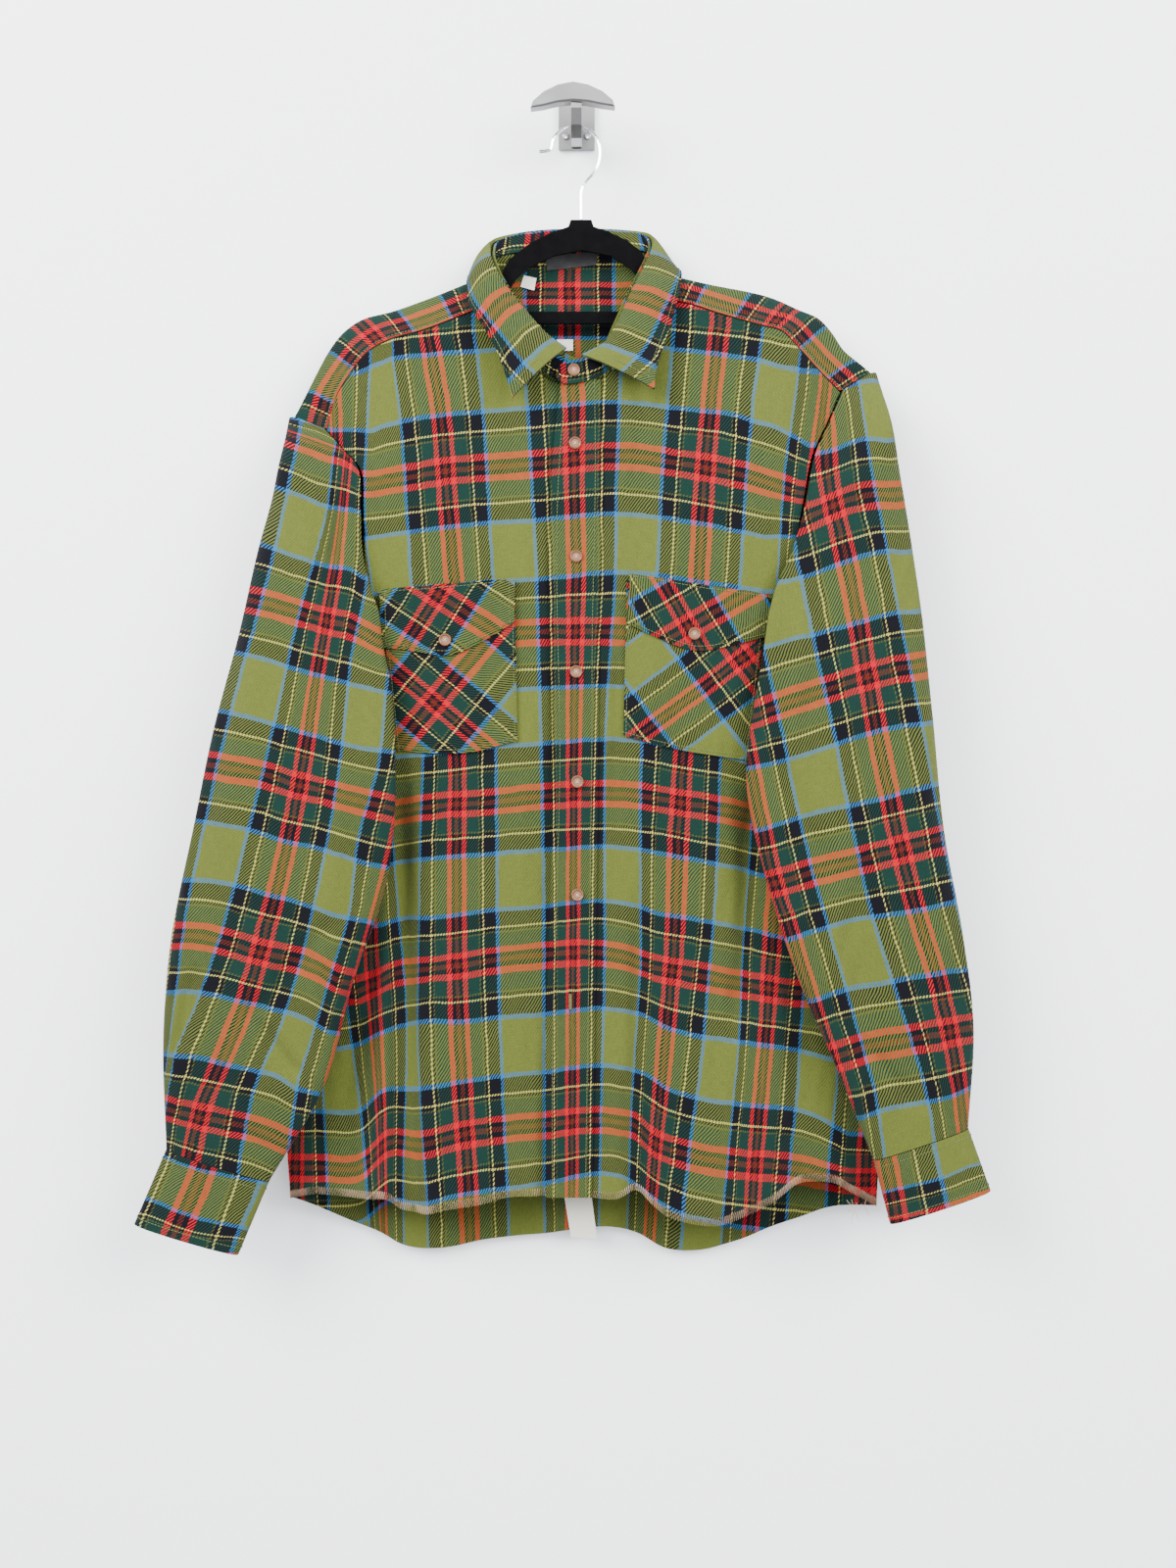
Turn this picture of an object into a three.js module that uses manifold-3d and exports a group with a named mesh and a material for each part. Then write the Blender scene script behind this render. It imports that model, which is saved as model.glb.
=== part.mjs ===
// A check flannel shirt that hangs on a flocked hanger from a cast wall hook.
// Millimetres. X runs to the right as the shirt faces the viewer, -Y points out of the wall, Z is up.
// The origin is the middle of the wall hook's back face, which lies against the wall.
import * as THREE from "three";
import Module from "manifold-3d";

const wasm = await Module();
wasm.setup();

// Driving dimensions
const CLOTH = 1.6; // thickness of the brushed flannel
const DOUBLED = 2.6; // thickness of a turned and stitched strip
const SEAM = 0.3; // gap that stands for a sewn seam
const LAP = CLOTH + SEAM; // step from one layer of cloth to the next
const HANGER_Y = -36.2; // depth of the hanger's middle plane
const HANGER_T = 3.8;
const WIRE_D = 2.8;
const LOOP_R = 21.4; // middle of the hanger's wire loop
const PLATE = { w: 32, h: 50, t: 4 };
const SCREW_D = 6.4; // screw head

// Colours, roughness and metalness of each material
const FINISH = {
  olive: [0x6f7a36, 0.92, 0],
  black: [0x121212, 0.95, 0],
  wood: [0xb58a63, 0.6, 0],
  white: [0xe9e7df, 0.85, 0],
  chrome: [0xd9dade, 0.18, 1],
  cast: [0xa8a8a8, 0.42, 1],
};

const shirt = new THREE.Group();
shirt.name = "flannel_shirt_on_hanger";

function addMesh(name, geometry, finish) {
  const [color, roughness, metalness] = FINISH[finish];
  const mesh = new THREE.Mesh(geometry, new THREE.MeshStandardMaterial({ color, roughness, metalness }));
  mesh.name = name;
  shirt.add(mesh);
  return mesh;
}

// Curves through table rows of x, y, z
const V = (row) => new THREE.Vector3(row[0], row[1], row[2]);

function through(rows) {
  const curve = new THREE.CatmullRomCurve3(rows.map(V), false, "centripetal");
  curve.arcLengthDivisions = 240;
  return (t) => curve.getPointAt(Math.min(1, Math.max(0, t)));
}

// Two or more curves end to end, each with its own share of the way
function joined(parts) {
  return (t) => {
    let start = 0;
    for (const [share, curve] of parts) {
      if (t <= start + share + 1e-9) return curve((t - start) / share);
      start += share;
    }
    return parts[parts.length - 1][1](1);
  };
}

const reversed = (curve) => (t) => curve(1 - t);
const mix = (a, b, t) => a.clone().lerp(b, t);
const smooth = (t) => t * t * (3 - 2 * t);
const clamp01 = (t) => Math.min(1, Math.max(0, t));
const bell = (d) => Math.exp(-d * d);
const steps = (n) => Array.from({ length: n + 1 }, (_, i) => i / n);

// A wall of cloth on a grid of outer points: rows run down, columns run across.
// side is 1 where the thickness is laid off along the cross product of down and across, -1 against it.
function wall(grid, thickness, side, closed = false) {
  const rows = grid.length;
  const cols = grid[0].length;
  const within = (k, n) => Math.min(n - 1, Math.max(0, k));
  const at = (i, j) => grid[within(i, rows)][closed ? (j + cols) % cols : within(j, cols)];
  const inner = grid.map((row, i) =>
    row.map((p, j) => {
      const down = at(i + 1, j).clone().sub(at(i - 1, j));
      const across = at(i, j + 1).clone().sub(at(i, j - 1));
      const normal = down.cross(across).normalize();
      return p.clone().addScaledVector(normal, side * thickness);
    }),
  );
  const position = [];
  for (const row of [...grid, ...inner]) {
    for (const p of row) position.push(p.x, p.y, p.z);
  }
  const outerAt = (i, j) => i * cols + (j % cols);
  const innerAt = (i, j) => rows * cols + outerAt(i, j);
  const index = [];
  const quad = (a, b, c, d) => index.push(a, b, c, a, c, d);
  const last = closed ? cols : cols - 1;
  for (let i = 0; i < rows - 1; i++) {
    for (let j = 0; j < last; j++) {
      quad(outerAt(i, j), outerAt(i + 1, j), outerAt(i + 1, j + 1), outerAt(i, j + 1));
      quad(innerAt(i, j), innerAt(i, j + 1), innerAt(i + 1, j + 1), innerAt(i + 1, j));
    }
  }
  for (let j = 0; j < last; j++) {
    quad(outerAt(0, j), outerAt(0, j + 1), innerAt(0, j + 1), innerAt(0, j));
    quad(outerAt(rows - 1, j), innerAt(rows - 1, j), innerAt(rows - 1, j + 1), outerAt(rows - 1, j + 1));
  }
  for (let i = 0; i < rows - 1 && !closed; i++) {
    quad(outerAt(i, 0), innerAt(i, 0), innerAt(i + 1, 0), outerAt(i + 1, 0));
    quad(outerAt(i, last), outerAt(i + 1, last), innerAt(i + 1, last), innerAt(i, last));
  }
  return facingOut(position, index);
}

// A closed surface with its faces turned outwards
function facingOut(position, index) {
  let volume = 0;
  const p = (k) => new THREE.Vector3(position[3 * k], position[3 * k + 1], position[3 * k + 2]);
  for (let k = 0; k < index.length; k += 3) {
    volume += p(index[k]).dot(p(index[k + 1]).cross(p(index[k + 2])));
  }
  if (volume < 0) {
    for (let k = 0; k < index.length; k += 3) {
      [index[k + 1], index[k + 2]] = [index[k + 2], index[k + 1]];
    }
  }
  const geometry = new THREE.BufferGeometry();
  geometry.setAttribute("position", new THREE.Float32BufferAttribute(position, 3));
  geometry.setIndex(index);
  return geometry;
}

// Neck seam, front yoke seams, shoulder ridge, armholes, side seams and hems. Columns are x, y, z.
const NECK = {
  left: [[14, -56, -247], [-22, -57, -240], [-42, -56, -223], [-61, -52, -198], [-74, -44, -172]],
  back: [[-74, -44, -172], [-79, -35, -144.5], [-70, -24, -128], [-37, -18, -121], [0, -16, -117],
    [36, -18, -119], [64, -24, -125], [73.5, -35, -140], [67, -44, -167]],
  right: [[19, -60, -241], [43, -58, -220], [57, -52, -195], [67, -44, -167]],
};
const YOKE_FRONT = {
  left: [[-74, -44, -172], [-100, -48, -183], [-130, -50, -195], [-161, -50, -204], [-180, -50, -215],
    [-201, -48, -242], [-208, -46, -255], [-215, -44, -280]],
  right: [[67, -44, -167], [95, -48, -172], [122, -50, -181], [161, -50, -192], [176, -50, -196],
    [193, -50, -213], [208, -48, -229], [227, -44, -247]],
};
const RIDGE = {
  left: [[-81, -34, -146.5], [-99, -35, -154], [-129, -35, -166], [-160, -35, -177], [-186, -35, -184],
    [-203, -35, -196], [-215, -35, -212], [-225, -36, -231], [-240, -38, -262], [-245, -38, -271]],
  right: [[75, -34, -142], [89, -35, -147], [114, -35, -153], [166, -35, -164], [194, -35, -176],
    [210, -35, -183], [222, -35, -196], [231, -36, -210], [248, -38, -225], [256, -38, -232]],
};
const YOKE_BACK = [[-239, -29, -308], [-200, -26, -276], [-120, -24, -240], [0, -22, -225],
  [120, -24, -232], [208, -26, -254], [246, -29, -276]];
const ARMHOLE_FRONT = {
  left: [[-215, -44, -280], [-199, -50, -298], [-184, -56, -317], [-181, -62, -352], [-180, -64, -386],
    [-178, -64, -428], [-182, -60, -465], [-195, -54, -502], [-213, -45, -523]],
  right: [[227, -44, -247], [214, -50, -277], [201, -58, -306], [194, -62, -340], [188, -64, -378],
    [188, -64, -411], [194, -60, -448], [206, -54, -479], [222, -45, -493]],
};
const ARMHOLE_BACK = {
  left: [[-239, -29, -308], [-231, -26, -347], [-227, -26, -398], [-225, -28, -450], [-221, -34, -493],
    [-213, -40, -523]],
  right: [[246, -29, -276], [239, -26, -321], [235, -26, -372], [233, -28, -424], [229, -34, -463],
    [222, -40, -493]],
};
const SIDE = {
  left: [[-213, 0, -523], [-231, 0, -586], [-244, 0, -654], [-253, 0, -722], [-256, 0, -790],
    [-253, 0, -849], [-247, 0, -943]],
  right: [[222, 0, -493], [240, 0, -561], [251, 0, -628], [259, 0, -705], [263, 0, -790],
    [263, 0, -858], [259, 0, -950]],
};
const HEM_FRONT = {
  left: [[14, -57, -938], [-32, -58.4, -938], [-57, -60, -938], [-82, -60, -944], [-115, -60, -950],
    [-132, -60, -954], [-149, -58, -950], [-162, -54, -941], [-175, -50, -942], [-201, -48, -941],
    [-226, -46, -939], [-247, -41, -943]],
  right: [[12, -60, -938], [34, -60, -940], [52, -58, -934], [66, -62, -945], [77, -64, -953],
    [93, -66, -958], [114, -66, -961], [131, -64, -958], [165, -60, -944], [190, -56, -929],
    [220, -50, -928], [236, -46, -937], [259, -41, -950]],
};
const HEM_BACK = [[-247, -36, -943], [-221, -24, -957], [-196, -18, -969], [-171, -14, -980], [-151, -12, -989],
  [-119, -12, -992], [-76, -12, -985], [-24, -14, -979], [27, -14, -973], [53, -12, -979], [79, -12, -993],
  [109, -12, -995], [139, -12, -987], [165, -12, -975], [195, -16, -965], [224, -24, -955], [259, -36, -950]];
const FRONT_EDGE = { // where each front meets the placket strip
  left: [[14, -56, -247], [14, -58.8, -319], [14, -62.8, -386], [14, -67.4, -461], [14, -66, -586],
    [12, -62, -753], [14, -57, -938]],
  right: [[19, -60, -241], [21, -62, -319], [20, -66, -386], [18, -70, -461], [17, -68, -586],
    [15, -64, -753], [12, -60, -938]],
};

// Depth of the side seam behind the front, shared by both sides; the front and back lie 1.75 mm off it.
const SIDE_HALF = (2 * CLOTH + SEAM) / 2;
const sideDepth = (t) => -42.5 + 4 * smooth(clamp01(t * 1.5));

function sideSeam(side, layer) {
  const curve = through(SIDE[side]);
  return (t) => {
    const p = curve(t);
    p.y = sideDepth(t) + layer * SIDE_HALF;
    return p;
  };
}

// Long folds of the body. Columns are x at the top, z at the top, x at the foot, z at the foot, half width,
// depth towards the wall (negative stands out).
const FRONT_FOLDS = {
  left: [[-150, -590, -140, -940, 11, 11], [-163, -690, -164, -940, 7, -5], [-28, -560, -28, -930, 9, 3.5],
    [-190, -780, -205, -940, 14, 6], [-96, -620, -84, -940, 18, -3], [-176, -330, -168, -430, 8, 3]],
  right: [[152, -590, 142, -760, 12, 10], [56, -690, 50, -940, 9, 6], [96, -780, 112, -940, 26, -4],
    [38, -440, 30, -700, 7, 2.5], [188, -800, 194, -940, 14, 6], [172, -640, 165, -900, 12, -3]],
};
const BACK_FOLDS = [[-120, -300, -140, -960, 26, -4], [-60, -330, -76, -960, 22, 3], [20, -300, 24, -960, 28, -3.5],
  [90, -320, 110, -960, 24, 4], [170, -330, 165, -950, 22, -3], [-185, -340, -180, -950, 20, 3]];

// How far the cloth goes towards the wall at a place, from a table of folds
function foldDepth(folds, x, z) {
  let depth = 0;
  for (const [x0, z0, x1, z1, half, deep] of folds) {
    const t = (z - z0) / (z1 - z0);
    const fade = smooth(clamp01(t * 3 + 0.4)) * smooth(clamp01((1.3 - t) * 3.4));
    depth += deep * fade * bell((x - x0 - (x1 - x0) * t) / half);
  }
  return depth;
}

// A panel between four edges: a runs from the inner edge to the outer one, b from the top to the hem.
// Its depth follows the side edges, and the top and the hem only near them; a large roll keeps it flat for longer.
function panelPoint({ top, foot, inner, outer, roll }, a, b) {
  const [head, hem, near, far] = [top(a), foot(a), inner(b), outer(b)];
  const [nearTop, farTop, nearFoot, farFoot] = [inner(0), outer(0), inner(1), outer(1)];
  const bend = Math.pow(a, roll);
  const corners = mix(mix(nearTop, farTop, a), mix(nearFoot, farFoot, a), b);
  const place = mix(near, far, a).add(mix(head, hem, b)).sub(corners);
  const topDepth = head.y - mix(nearTop, farTop, bend).y;
  const hemDepth = hem.y - mix(nearFoot, farFoot, bend).y;
  place.y = mix(near, far, bend).y + topDepth * Math.pow(1 - b, 5) + hemDepth * Math.pow(b, 6);
  return place;
}

function gridOf(rows, cols, point) {
  return steps(rows).map((b) => steps(cols).map((a) => point(a, b)));
}

// Fronts
const spaced = (t) => 1 - Math.pow(1 - t, 1.25); // closer columns at the side seam

function front(side) {
  const inner = through(FRONT_EDGE[side]);
  const outer = joined([[0.42, through(ARMHOLE_FRONT[side])], [0.58, sideSeam(side, -1)]]);
  const neck = through(NECK[side]);
  const top = joined([[0.4, neck], [0.6, through(YOKE_FRONT[side])]]);
  const foot = through(HEM_FRONT[side]);
  const edges = { top, foot, inner, outer, roll: 3.4 };
  return (a, b) => {
    const p = panelPoint(edges, a, b);
    const free = smooth(clamp01(b * 6)) * smooth(clamp01((1 - a) * 8)) * smooth(clamp01(a * 9));
    p.y += foldDepth(FRONT_FOLDS[side], p.x, p.z) * free;
    p.z -= SEAM + 1.3 * Math.pow(1 - b, 8);
    return p;
  };
}
const frontPoint = { left: front("left"), right: front("right") };
for (const [side, name] of [["left", "front_right"], ["right", "front_left"]]) {
  const grid = gridOf(20, 17, (a, b) => frontPoint[side](spaced(a), b));
  addMesh(name, wall(grid, CLOTH, side === "left" ? 1 : -1), "olive");
}

// Back, below the yoke
const backEdges = {
  top: through(YOKE_BACK),
  foot: through(HEM_BACK),
  inner: joined([[0.36, through(ARMHOLE_BACK.left)], [0.64, sideSeam("left", 1)]]),
  outer: joined([[0.36, through(ARMHOLE_BACK.right)], [0.64, sideSeam("right", 1)]]),
};

function backPoint(a, b) {
  const p = panelPoint({ ...backEdges, roll: 1 }, a, b);
  const flatY = -24 + 11 * smooth(clamp01(b * 2.2));
  const toSide = Math.pow(Math.abs(2 * a - 1), 5);
  p.y = flatY + (p.y - flatY) * Math.max(toSide, Math.pow(1 - b, 8));
  const free = smooth(clamp01(b * 7)) * smooth(clamp01(Math.min(a, 1 - a) * 12));
  p.y = Math.min(-5, p.y + foldDepth(BACK_FOLDS, p.x, p.z) * free);
  p.z -= 2 * SEAM;
  return p;
}
addMesh("back", wall(gridOf(16, 24, backPoint), CLOTH, 1), "olive");

// Yoke: from the front seams over the shoulders to the back seam, round the back of the neck
const NECK_SHARE = 0.16; // half of the yoke's width that lies along the neck
const yokeFront = joined([
  [(1 - 2 * NECK_SHARE) / 2, reversed(through(YOKE_FRONT.left))],
  [2 * NECK_SHARE, through(NECK.back)],
  [(1 - 2 * NECK_SHARE) / 2, through(YOKE_FRONT.right)],
]);
const yokeRidge = { left: through([...RIDGE.left].reverse()), right: through(RIDGE.right) };
const yokeBack = through(YOKE_BACK);

function yokePoint(p, q) {
  const shoulder = 0.5 - NECK_SHARE;
  const f = yokeFront(p);
  const b = yokeBack(p);
  let ridge = mix(f, b, 0.12);
  if (p < shoulder) ridge = yokeRidge.left(p / shoulder);
  if (p > 1 - shoulder) ridge = yokeRidge.right((p - 1 + shoulder) / shoulder);
  const nearNeck = smooth(clamp01(Math.min(Math.abs(p - shoulder), Math.abs(p - 1 + shoulder)) / 0.05));
  if (p >= shoulder && p <= 1 - shoulder) {
    ridge = mix(p < 0.5 ? yokeRidge.left(1) : yokeRidge.right(0), ridge, nearNeck);
  }
  const share = p < shoulder || p > 1 - shoulder ? 0.45 : 0.12 + 0.33 * (1 - nearNeck);
  const path = new THREE.CatmullRomCurve3([f, ridge, b], false, "centripetal");
  const t = q < share ? (0.5 * q) / share : 0.5 + (0.5 * (q - share)) / (1 - share);
  return path.getPoint(clamp01(t));
}
addMesh("yoke", wall(gridOf(8, 30, yokePoint), CLOTH, 1), "olive");

// Sleeves: a row for each ring of the tube, from the armhole to the cuff. Columns are the outer edge x, z, the
// inner fold x, z, the seam under the arm x, z, and how far the front, the back at the outer edge and the back at
// the fold stand out from the wall.
const SLEEVE = {
  left: [
    [-245, -271, -178, -410, -213, -523, 0, 0, 0],
    [-252, -308, -168, -436, -215, -535, 78, 38, 71],
    [-259, -345, -163, -468, -217, -548, 82, 40, 71],
    [-270, -388, -155, -508, -220, -563, 86, 44, 72],
    [-286, -462, -152, -560, -224, -588, 91, 48, 72],
    [-306, -540, -152, -605, -222, -607, 94, 52, 71],
    [-322, -620, -160, -672, -222, -652, 95, 56, 69],
    [-341, -715, -187, -751, -246, -738, 94, 58, 67],
    [-348, -800, -213, -842, -264, -826, 91, 60, 66],
    [-346, -894, -259, -921, -292, -911, 85, 62, 64],
  ],
  right: [
    [256, -232, 182, -385, 222, -493, 0, 0, 0],
    [268, -275, 172, -412, 224, -506, 78, 38, 71],
    [275, -320, 163, -440, 227, -521, 82, 40, 71],
    [282, -367, 157, -478, 230, -538, 86, 44, 72],
    [292, -440, 148, -530, 232, -565, 91, 48, 72],
    [301, -530, 143, -585, 226, -600, 94, 52, 71],
    [310, -625, 158, -660, 216, -650, 95, 56, 69],
    [326, -714, 188, -753, 240, -738, 94, 58, 67],
    [335, -790, 218, -822, 262, -810, 91, 60, 66],
    [331, -876, 251, -903, 281, -893, 85, 62, 64],
  ],
};
const SLEEVE_LAP = 3.1; // the sleeve is sewn over the body's edge
const FOLD_AT = 0.56; // share of the front armhole above the sleeve's inner fold
const FRONT_COLS = 10;
const UNDER_COLS = 4;
const BACK_COLS = 7;

// The armhole as a closed ring that the sleeve is lapped on
function armholeRing(side) {
  const end = side === "left" ? 0 : 1;
  const frontSeam = through(ARMHOLE_FRONT[side]);
  const backSeam = through(ARMHOLE_BACK[side]);
  const out = side === "left" ? -1 : 1;
  const shoulder = 0.22;
  const ring = [];
  for (const t of steps(FRONT_COLS)) {
    const along = (t - shoulder) / (1 - shoulder);
    const p = t < shoulder ? yokePoint(end, 0.45 * (1 - t / shoulder)) : frontSeam(along * FOLD_AT);
    const lap = smooth(clamp01(t * 6));
    const step = new THREE.Vector3(out * (1.1 - 0.4 * lap), -lap, (1 - lap) * 0.5);
    ring.push(p.addScaledVector(step, SLEEVE_LAP));
  }
  for (const t of steps(UNDER_COLS).slice(1)) {
    const p = frontSeam(FOLD_AT + (1 - FOLD_AT) * t);
    ring.push(p.add(new THREE.Vector3(out * SLEEVE_LAP * t, -SLEEVE_LAP, 0)));
  }
  for (const t of steps(BACK_COLS).slice(1, -1)) {
    const rise = (t - 1 + shoulder) / shoulder;
    const p = t < 1 - shoulder ? backSeam(1 - t / (1 - shoulder)) : yokePoint(end, 1 - 0.55 * rise);
    ring.push(p.add(new THREE.Vector3(out * SLEEVE_LAP * 1.1, SLEEVE_LAP * 0.9, 0)));
  }
  return ring;
}

// One flattened ring of a sleeve or cuff
function tubeRing([ox, oz, ix, iz, ux, uz, front, backOut, backFold]) {
  const ring = [];
  const edge = (s) => (front + backOut) / 2 + ((backFold - backOut) / 2) * s;
  const round = (t) => Math.pow(Math.max(0, Math.sin(Math.PI * t)), 0.6);
  const across = (t) => (1 - Math.cos(Math.PI * t)) / 2;
  for (const t of steps(FRONT_COLS)) {
    const s = across(t);
    const y = edge(s) + (front - edge(s)) * round(t);
    ring.push(new THREE.Vector3(ox + (ix - ox) * s, -y, oz + (iz - oz) * s));
  }
  const total = UNDER_COLS + BACK_COLS;
  for (let k = 1; k < total; k++) {
    const under = k <= UNDER_COLS;
    const t = under ? k / UNDER_COLS : (k - UNDER_COLS) / BACK_COLS;
    const ease = under ? 1 - Math.cos((Math.PI * t) / 2) : Math.sin((Math.PI * t) / 2);
    const from = under ? [ix, iz] : [ux, uz];
    const to = under ? [ux, uz] : [ox, oz];
    const s = under ? 1 - 0.4 * ease : 0.6 * (1 - ease);
    const back = backOut + (backFold - backOut) * s;
    const y = edge(s) + (back - edge(s)) * round(k / total);
    ring.push(new THREE.Vector3(from[0] + (to[0] - from[0]) * ease, -y, from[1] + (to[1] - from[1]) * ease));
  }
  return ring;
}

// Rings joined lengthways by smooth curves, read at evenly spread places
function loft(rings, rows) {
  const lines = rings[0].map((_, j) => new THREE.CatmullRomCurve3(rings.map((r) => r[j]), false, "centripetal"));
  return steps(rows).map((t) => lines.map((line) => line.getPoint(t)));
}

const cuffRing = {};
const turn = { left: -1, right: 1 }; // which way a sleeve's columns run round it
for (const side of ["left", "right"]) {
  const wearer = side === "left" ? "right" : "left";
  const rings = SLEEVE[side].slice(1).map(tubeRing);
  addMesh("sleeve_" + wearer, wall(loft([armholeRing(side), ...rings], 23), CLOTH, turn[side], true), "olive");
  cuffRing[side] = rings[rings.length - 1];
}

// Cuffs: the turned bands below the sleeves. Columns as in the sleeve's rings.
const CUFF = {
  left: [[-373, -957, -285, -983, -320, -973, 86, 60, 63]],
  right: [[350, -929, 265, -957, 299, -946, 86, 60, 63]],
};
const CUFF_GAP = 0.8;
for (const side of ["left", "right"]) {
  const wearer = side === "left" ? "right" : "left";
  const foot = tubeRing(CUFF[side][0]);
  const top = cuffRing[side].map((p, j) => p.clone().add(foot[j].clone().sub(p).setLength(CUFF_GAP)));
  cuffRing[side] = [top, foot];
  addMesh("cuff_" + wearer, wall(loft([top, foot], 3), DOUBLED, turn[side], true), "olive");
}

// Collar stand: from the free end under the placket side, round the neck, to the buttoned end. Columns are the
// neck seam x, y, z and the roll line x, y, z.
const STAND = [
  [12, -54.5, -245.5, 12, -56, -226], [-10, -56.2, -242.8, -10, -59, -218], [-22, -57, -237.6, -23, -62, -207],
  [-42, -56, -221, -38, -59, -188], [-61, -51.2, -196.6, -50, -55, -171], [-73, -44, -170.3, -62, -50.5, -153],
  [-77, -39.5, -156.4, -70, -43, -135], [-78, -35, -142.8, -72, -35, -124], [-68.6, -24.6, -126.6, -69, -22, -112],
  [-37, -18, -119.8, -40, -14, -102], [0, -16, -115.8, 0, -12, -99], [36, -18, -117.8, 38, -13, -100.5],
  [62.6, -24.8, -123.2, 60, -22, -107], [72.5, -35, -137.9, 63.4, -35, -119], [71, -39.5, -150.2, 59.6, -41, -131],
  [66, -44, -164.6, 54, -47, -144], [57, -51.6, -193, 43, -56, -168], [43, -57.4, -217.6, 32, -60.4, -193],
  [25, -61.4, -235.6, 22, -63.5, -214], [5, -64.4, -244, 4, -65, -224], [-12, -65, -245, -12, -65.4, -228],
  [-17, -65.2, -240, -17, -65.4, -234],
];
const FALL = [
  [-8, -68.6, -216, -54, -78, -260], [-24, -67, -204, -60, -75, -240], [-40, -63, -186, -67, -71, -220],
  [-53, -58, -169, -78, -66, -199], [-65, -53.5, -151, -91, -57, -177], [-73, -45, -133, -95, -42, -155],
  [-75, -34.5, -121.5, -95, -30, -147], [-73, -20, -109.5, -92, -19, -143], [-43, -10.6, -99.6, -55, -8, -141],
  [0, -8.6, -96.6, 0, -7, -141], [41, -9.6, -98, 54, -8, -140], [63.5, -20, -104.5, 86, -18, -139],
  [66.5, -34.5, -116.5, 91, -36, -142], [57.5, -48, -141.5, 88, -53, -166], [46.5, -58, -165.5, 80, -63, -196],
  [36, -64, -190, 71, -71, -224], [24, -68, -210.5, 67, -77, -240], [4, -69.8, -222, 66, -79, -253],
];

function band(table, rows, cols, bulge) {
  const low = through(table.map((r) => r.slice(0, 3)));
  const high = through(table.map((r) => r.slice(3)));
  const middle = new THREE.Vector3(0, -38, 0);
  return gridOf(rows, cols, (a, b) => {
    const p = mix(low(a), high(a), b);
    const out = p.clone().sub(middle).setZ(0).multiply(new THREE.Vector3(1 / 70, 1 / 26, 0)).normalize();
    return p.addScaledVector(out, bulge * Math.sin(Math.PI * Math.pow(b, 0.6)));
  });
}
addMesh("collar_stand", wall(band(STAND, 2, 30, 0), CLOTH, -1), "olive");
addMesh("collar", wall(band(FALL, 5, 34, 6), DOUBLED, 1), "olive");

// The place on a surface that lies behind a given x and z
function onSurface(point, x, z, start) {
  let [a, b] = start;
  const h = 1e-3;
  for (let k = 0; k < 24; k++) {
    const p = point(a, b);
    const pa = point(a + (a > 0.5 ? -h : h), b).sub(p).multiplyScalar(a > 0.5 ? -1 / h : 1 / h);
    const pb = point(a, b + (b > 0.5 ? -h : h)).sub(p).multiplyScalar(b > 0.5 ? -1 / h : 1 / h);
    const det = pa.x * pb.z - pa.z * pb.x;
    const dx = x - p.x;
    const dz = z - p.z;
    a = clamp01(a + (0.8 * (dx * pb.z - dz * pb.x)) / det);
    b = clamp01(b + (0.8 * (dz * pa.x - dx * pa.z)) / det);
  }
  return point(a, b);
}

function onFront(side, x, z, lift) {
  const p = onSurface(frontPoint[side], x, z, [0.45, 0.35]);
  return new THREE.Vector3(x, p.y - lift, z);
}

// Placket strip, from the neck to the hem. Columns are z and the x of the free edge.
const PLACKET = [[-240, -13], [-249, -14], [-294, -19], [-586, -19.5], [-711, -23], [-803, -26], [-940, -26]];
const PLACKET_LIFT = 1.4;
const placketSeam = through(FRONT_EDGE.right);

// A value read from a table whose first column falls
function read(table, z) {
  const k = Math.max(1, Math.min(table.length - 1, table.findIndex(([zk]) => zk <= z)));
  const [[z0, v0], [z1, v1]] = [table[k - 1], table[k]];
  return v0 + ((v1 - v0) * (z - z0)) / (z1 - z0);
}

function placketPoint(a, b) {
  const seam = placketSeam(b);
  const free = read(PLACKET, seam.z);
  return new THREE.Vector3(free + (seam.x - 2 * SEAM - free) * a, seam.y - PLACKET_LIFT, seam.z - SEAM);
}
addMesh("placket", wall(gridOf(20, 2, placketPoint), DOUBLED, -1), "olive");

// Pockets and their flaps. Columns are x, z of the corners; the foot is read from left to right.
const POCKET = {
  left: { top: [[-167, -422], [-52, -415]], foot: [[-153, -557], [-122, -560], [-89, -559], [-50, -549]] },
  right: { top: [[43, -413], [163, -428]], foot: [[40, -545], [66, -552], [93, -558], [146, -566]] },
};
const FLAP = {
  left: {
    top: [[-167, -421], [-52, -412]],
    foot: [[-166, -470], [-140, -473], [-108, -477], [-81, -466], [-52, -449]],
  },
  right: {
    top: [[46, -408], [164, -426]],
    foot: [[43, -450], [70, -463], [101, -473], [130, -469], [164, -460]],
  },
};
const PATCH_LIFT = 2 * LAP - 0.8;
const FLAP_LIFT = 4 * LAP - 2;

function patch(side, { top, foot }, lift, rows, cols) {
  const flat = ([x, z]) => [x, 0, z];
  const head = through(top.map(flat));
  const hem = through(foot.map(flat));
  return gridOf(rows, cols, (a, b) => {
    const p = mix(head(a), hem(a), b);
    return onFront(side, p.x, p.z, lift);
  });
}
for (const [side, wearer] of [["left", "right"], ["right", "left"]]) {
  addMesh("pocket_" + wearer, wall(patch(side, POCKET[side], PATCH_LIFT, 6, 9), CLOTH, -1), "olive");
  addMesh("pocket_flap_" + wearer, wall(patch(side, FLAP[side], FLAP_LIFT, 3, 9), CLOTH, -1), "olive");
}

// Buttons: a rimmed disc whose back rests on the cloth. Columns are radius and height.
const BUTTON_PROFILE = [[0, 0], [4.3, 0], [5.3, 0.9], [5.3, 2], [4.6, 2.6], [3.9, 2.2], [3.2, 1.5], [0, 1.5]];

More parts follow.
